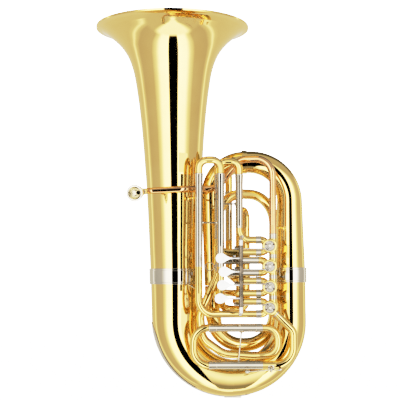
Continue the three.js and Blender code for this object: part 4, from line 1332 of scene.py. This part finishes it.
# The mouthpiece's outline from its rim down the outside to the shank, and back up its bore.
MOUTHPIECE = [
    (16.6, 0.5), (17.6, 0.05), (19, 0), (20.4, 0.5), (21.3, 1.5), (21.5, 2.7), (21, 4),
    (20.1, 5), (20.3, 5.8), (20.3, 6.8), (19.6, 7.4), (19.4, 12), (18.8, 18), (17.8, 23),
    (16.2, 28), (14, 32.4), (11.2, 36), (9, 38.2), (9.6, 39), (9.6, 40.4), (8.4, 41.2),
    (6.8, 43.4), (6.2, 46), (6.6, 49), (7.3, 54), (7, 72), (6.7, 89.6), (6.4, 90), (5.8, 90),
    (5.4, 86), (4.4, 50), (4.2, 40), (4, 34), (4.6, 31), (7, 28), (10.4, 24.4), (13.4, 18),
    (15.2, 10), (16, 4), (16.2, 1.6),
]
RECEIVER = [
    (7.5, 0), (9.2, 0), (9.6, 0.5), (9.6, 4.6), (8.9, 5.4), (8.8, 7), (9.2, 7.6), (9.2, 8.8),
    (8.7, 9.4), (8.3, 29.6), (8, 30), (7.2, 30),
]
# Thin stays: name, then a tube and the point beside it in millimetres, twice.
STAYS = [
    ("slide_4_stay", "slide_4_left_tube", (-3, -102, 466), "slide_4_right_tube", (54, -102, 466)),
    ("slide_1_stay", "slide_1_left_tube", (47.5, -78, 517), "slide_1_right_tube", (104, -78, 517)),
    (
        "tuning_stay",
        *("tuning_slide_upper_sleeve", (110, -78, 190)),
        *("tuning_slide_lower_tube", (100, -78, 93)),
    ),
    ("lower_bell_stay", "bell", (-68.7, 0, 288), "slide_4_left_tube", (-3, -102, 288)),
]


def make_turned(node, name, slot, profile, axis, sides):
    """A part turned about an axis, from the end of its CAD node that lies furthest against it."""
    made = frame["nodes"][node]
    points = [made.matrix_world @ vertex.co for vertex in made.data.vertices]
    # The turned shape is symmetric, so its middle lies on the axis.
    middle = mean(points)
    start = middle + axis * min((point - middle).dot(axis) for point in points)
    shell = lathe(profile, start, axis, sides, closed=True)
    piece(name, node_body[node], slot, shell, replaces=node)


def make_mouthpiece():
    axis = -Vector(joints["mouthpiece_pull"]["axis"])
    make_turned("mouthpiece", "mouthpiece_cup", "silver_plate", MOUTHPIECE, axis, 96)
    node = "mouthpiece_receiver"
    make_turned(node, node + "_turned", NICKEL, RECEIVER, axis, 56)


def make_second_slide():
    body = node_body["slide_2"]
    upper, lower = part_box("slide_2_upper_tube"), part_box("slide_2_lower_tube")
    mouth_x = upper[0][0]
    y = joints["slide_2_pull"]["pos_m"][1]
    heights = [(box[0][2] + box[1][2]) / 2 for box in (upper, lower)]
    crown_x, bend = mouth_x - 36 * MM, 16 * MM
    ends = [Vector((mouth_x - 0.3 * MM, y, z)) for z in heights]
    crowns = [Vector((crown_x, y, z)) for z in heights]
    line = bent([(ends[0], 0), (crowns[0], bend), (crowns[1], bend), (ends[1], 0)])
    shells = [tube_shell(route(line, 10.1 * MM, 8.6 * MM), 44)]
    for end in ends:
        shells.append(pipe(moved(end, -0.7), moved(end, 59.3), 9.15, 8.6))
    piece("slide_2_crook", body, NICKEL, *shells, replaces="slide_2")
    middle = mean(crowns)
    ring = hoop(moved(middle, -22), FRONT, 11 * MM, 1.3 * MM, 14, 64)
    lug = [(3.4, 0), (2.8, 1.2), (2.2, 2.4), (1.6, 3.2)]
    lug = lathe(lug, moved(middle, -8.6), -RIGHT, 28)
    piece("slide_2_ring", body, NICKEL, ring, lug)


def outward(ring):
    """The side of a bottom bow ring that faces away from the inside of the bend."""
    side = ring["tangent"].cross(FRONT)
    return side if side.z < 0 or abs(side.z) < 0.3 and side.x < 0 else -side


def strip_loop(ring, half):
    """A thin curved cross-section that hugs a ring's outer side, half wide on either side."""
    steps = 16
    spoke = outward(ring)
    turn = min(1.35, half / ring["radius"])
    spokes = [arm(spoke, FRONT, turn * (2 * k / steps - 1)) for k in range(steps + 1)]
    loop = []
    for k, side in enumerate(spokes):
        height = 0.85 if k in (0, steps) else 1.2
        loop.append(ring["centre"] + side * (ring["radius"] + height * MM))
    return loop + [ring["centre"] + side * (ring["radius"] - 0.3 * MM) for side in spokes[::-1]]


def make_guard():
    """A strip of sheet round the bottom bow's outer side, and the foot pad under it."""
    node = "bottom_bow_guard"
    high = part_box(node)[1]
    path = paths["bottom_bow"]
    step = 3 * MM
    wide, narrow = 37 * MM, 24 * MM
    leaf, blunt = 40 * MM, 14 * MM  # lengths over which the two ends narrow
    covered = []
    for k in range(int(path.length / step)):
        ring = path.at(k * step)
        outer = ring["centre"] + outward(ring) * ring["radius"]
        if outer.z < high[2] and outer.x < high[0] and ring["tangent"].z < 0.6:
            covered.append(k * step)
    length = covered[-1] - covered[0]
    count = int(length / step)
    loops = []
    for k in range(count + 1):
        s = length * k / count
        half = wide + (narrow - wide) * min(1, 1.6 * s / length)
        for distance, reach in ((s, leaf), (length - s, blunt)):
            half *= math.sqrt(max(0.02, 1 - max(0, 1 - distance / reach) ** 2))
        loops.append(strip_loop(path.at(covered[0] + s), half))
    # The first of the lowest rings, to a hundredth of a millimetre.
    lowest = min(path.rings, key=lambda ring: round(ring["centre"].z / MM, 2))
    foot = Vector((lowest["centre"].x, 0, 0))
    pad = block(moved(foot, z=4.1), (47.6, 25.8, 8.2), 1.6)
    piece(node + "_strip", BODY, NICKEL, skin_loops(loops), pad, replaces=node)
    heads = [screw(moved(foot, x, 0, 1.2), -UP, 2.6, 1.2, 40) for x in (-16, 16)]
    piece(node + "_screws", BODY, STEEL, *heads)


def make_water_key():
    """A two-armed water key on a saddle, turned round the lower tuning tube."""
    joint = joints["water_key_open"]
    pivot = Vector(joint["pos_m"])
    tube = Vector((0, joints["main_slide_pull"]["pos_m"][1], 0.093))
    radial = (pivot - tube)
    radial = (radial - RIGHT * radial.x).normalized()
    side = radial.cross(RIGHT)

    def at(x, out, along=0.0):
        """A point by X, distance from the tube's axis and distance along the hinge, in mm."""
        return tube + (RIGHT * x + radial * out + side * along) * MM

    x = pivot.x / MM
    pad = [at(124, 24.4) + spoke * 6.5 * MM for spoke in arms(RIGHT, side, 36)]
    cup = [(1.8, 0), (4, 0.6), (4, 3.4), (3.4, 3.6)]
    shells = [
        turned(hollow(1.5, 2.9, 11), at(x, 16, -5.5), side, 32),
        wire([at(x + 2, 16.6), at(x + 12, 18.6), at(212, 17)], 1.5 * MM, 16),
        wire([at(x - 2, 16.8), at(x - 20, 19.6), at(x - 44, 22.4), at(128, 24)], 1.5 * MM, 16),
        solid(cup, at(210, 18.1), -radial, 36),
        plate(pad, radial, 1.9, 0.4, 0.4),
    ]
    body = node_body["water_key"]
    piece("water_key_lever", body, NICKEL, *shells, replaces="water_key")
    piece("water_key_cork", body, "cork", pin(at(210, 15.2), at(210, 11.9), 3.3, 0.4))
    path = paths["tuning_slide_lower_tube"]
    turn = Matrix((RIGHT, radial, side)).transposed()
    shells = [
        saddle(path, path.nearest(at(x, 0)), radial, 9, 8.6, 1),
        pin(at(x, 16, -8.8), at(x, 16, 8.8), 1.2),
        screw(at(x, 16, 8.4), side, 2.1, 1.2),
        block(at(x, 15.2, -7), (6, 7.4, 1.9), 0.5, turn),
        block(at(x, 15.2, 7), (6, 7.4, 1.9), 0.5, turn),
    ]
    piece("water_key_mount", BODY, NICKEL, *shells, replaces="water_key_saddle")
    spring = coil(at(x, 16), side, 3.6, 0.45, 8, 5, 9)
    piece("water_key_spring", BODY, STEEL, spring, look="bright_steel")


def make_braces():
    for node, first, second in (
        ("bell_brace", "bell", "slide_4_left_tube"),
        ("leadpipe_brace", "right_branch", "leadpipe"),
    ):
        middle = mean(Vector(corner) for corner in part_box(node))
        ends = []
        for path in (paths[first], paths[second]):
            ends += [path, path.at(path.nearest(middle))["centre"]]
        piece(node + "_turned", BODY, BRASS, brace(*ends, 2.6, 9), replaces=node)
    for name, first, here, second, there in STAYS:
        ends = (paths[first], Vector(here) * MM, paths[second], Vector(there) * MM)
        piece(name, BODY, NICKEL, brace(*ends, 1.9, 6))


def make_collars():
    """The reinforced mouths of the slides' sleeves."""
    lengths = {node: length for node, (_, length) in SLIDE_TUBES.items()}
    lengths["tuning_slide_lower_tube"] = 22
    for node, length in lengths.items():
        ring = collar(paths[node], (length / 2 + 0.6) * MM, length)
        piece(node + "_collar", BODY, NICKEL, ring)
    for node in ("slide_2_upper_tube", "slide_2_lower_tube"):
        piece(node + "_collar", BODY, NICKEL, collar(paths[node], 10.5 * MM, 20))
    sleeve = paths["tuning_slide_upper_sleeve"]
    left, right = collar(sleeve, 11.6 * MM, 22), collar(sleeve, sleeve.length - 9.6 * MM, 18)
    piece("tuning_sleeve_left_collar", BODY, NICKEL, left)
    piece("tuning_sleeve_right_collar", BODY, NICKEL, right)


# ---- The whole scene ---------------------------------------------------------------------------


def finish_cad_nodes():
    """CAD nodes that stay in view get the finish of their slot."""
    slots = {row["node"]: row["material_slot"] for row in record["subparts"]}
    for name, node in frame["nodes"].items():
        if not node.hide_render:
            node.data.materials.clear()
            node.data.materials.append(FINISH[slots[name]])


make_tubes()
make_valves()
make_levers()
make_mouthpiece()
make_second_slide()
make_guard()
make_water_key()
make_braces()
make_collars()
finish_cad_nodes()
make_studio()
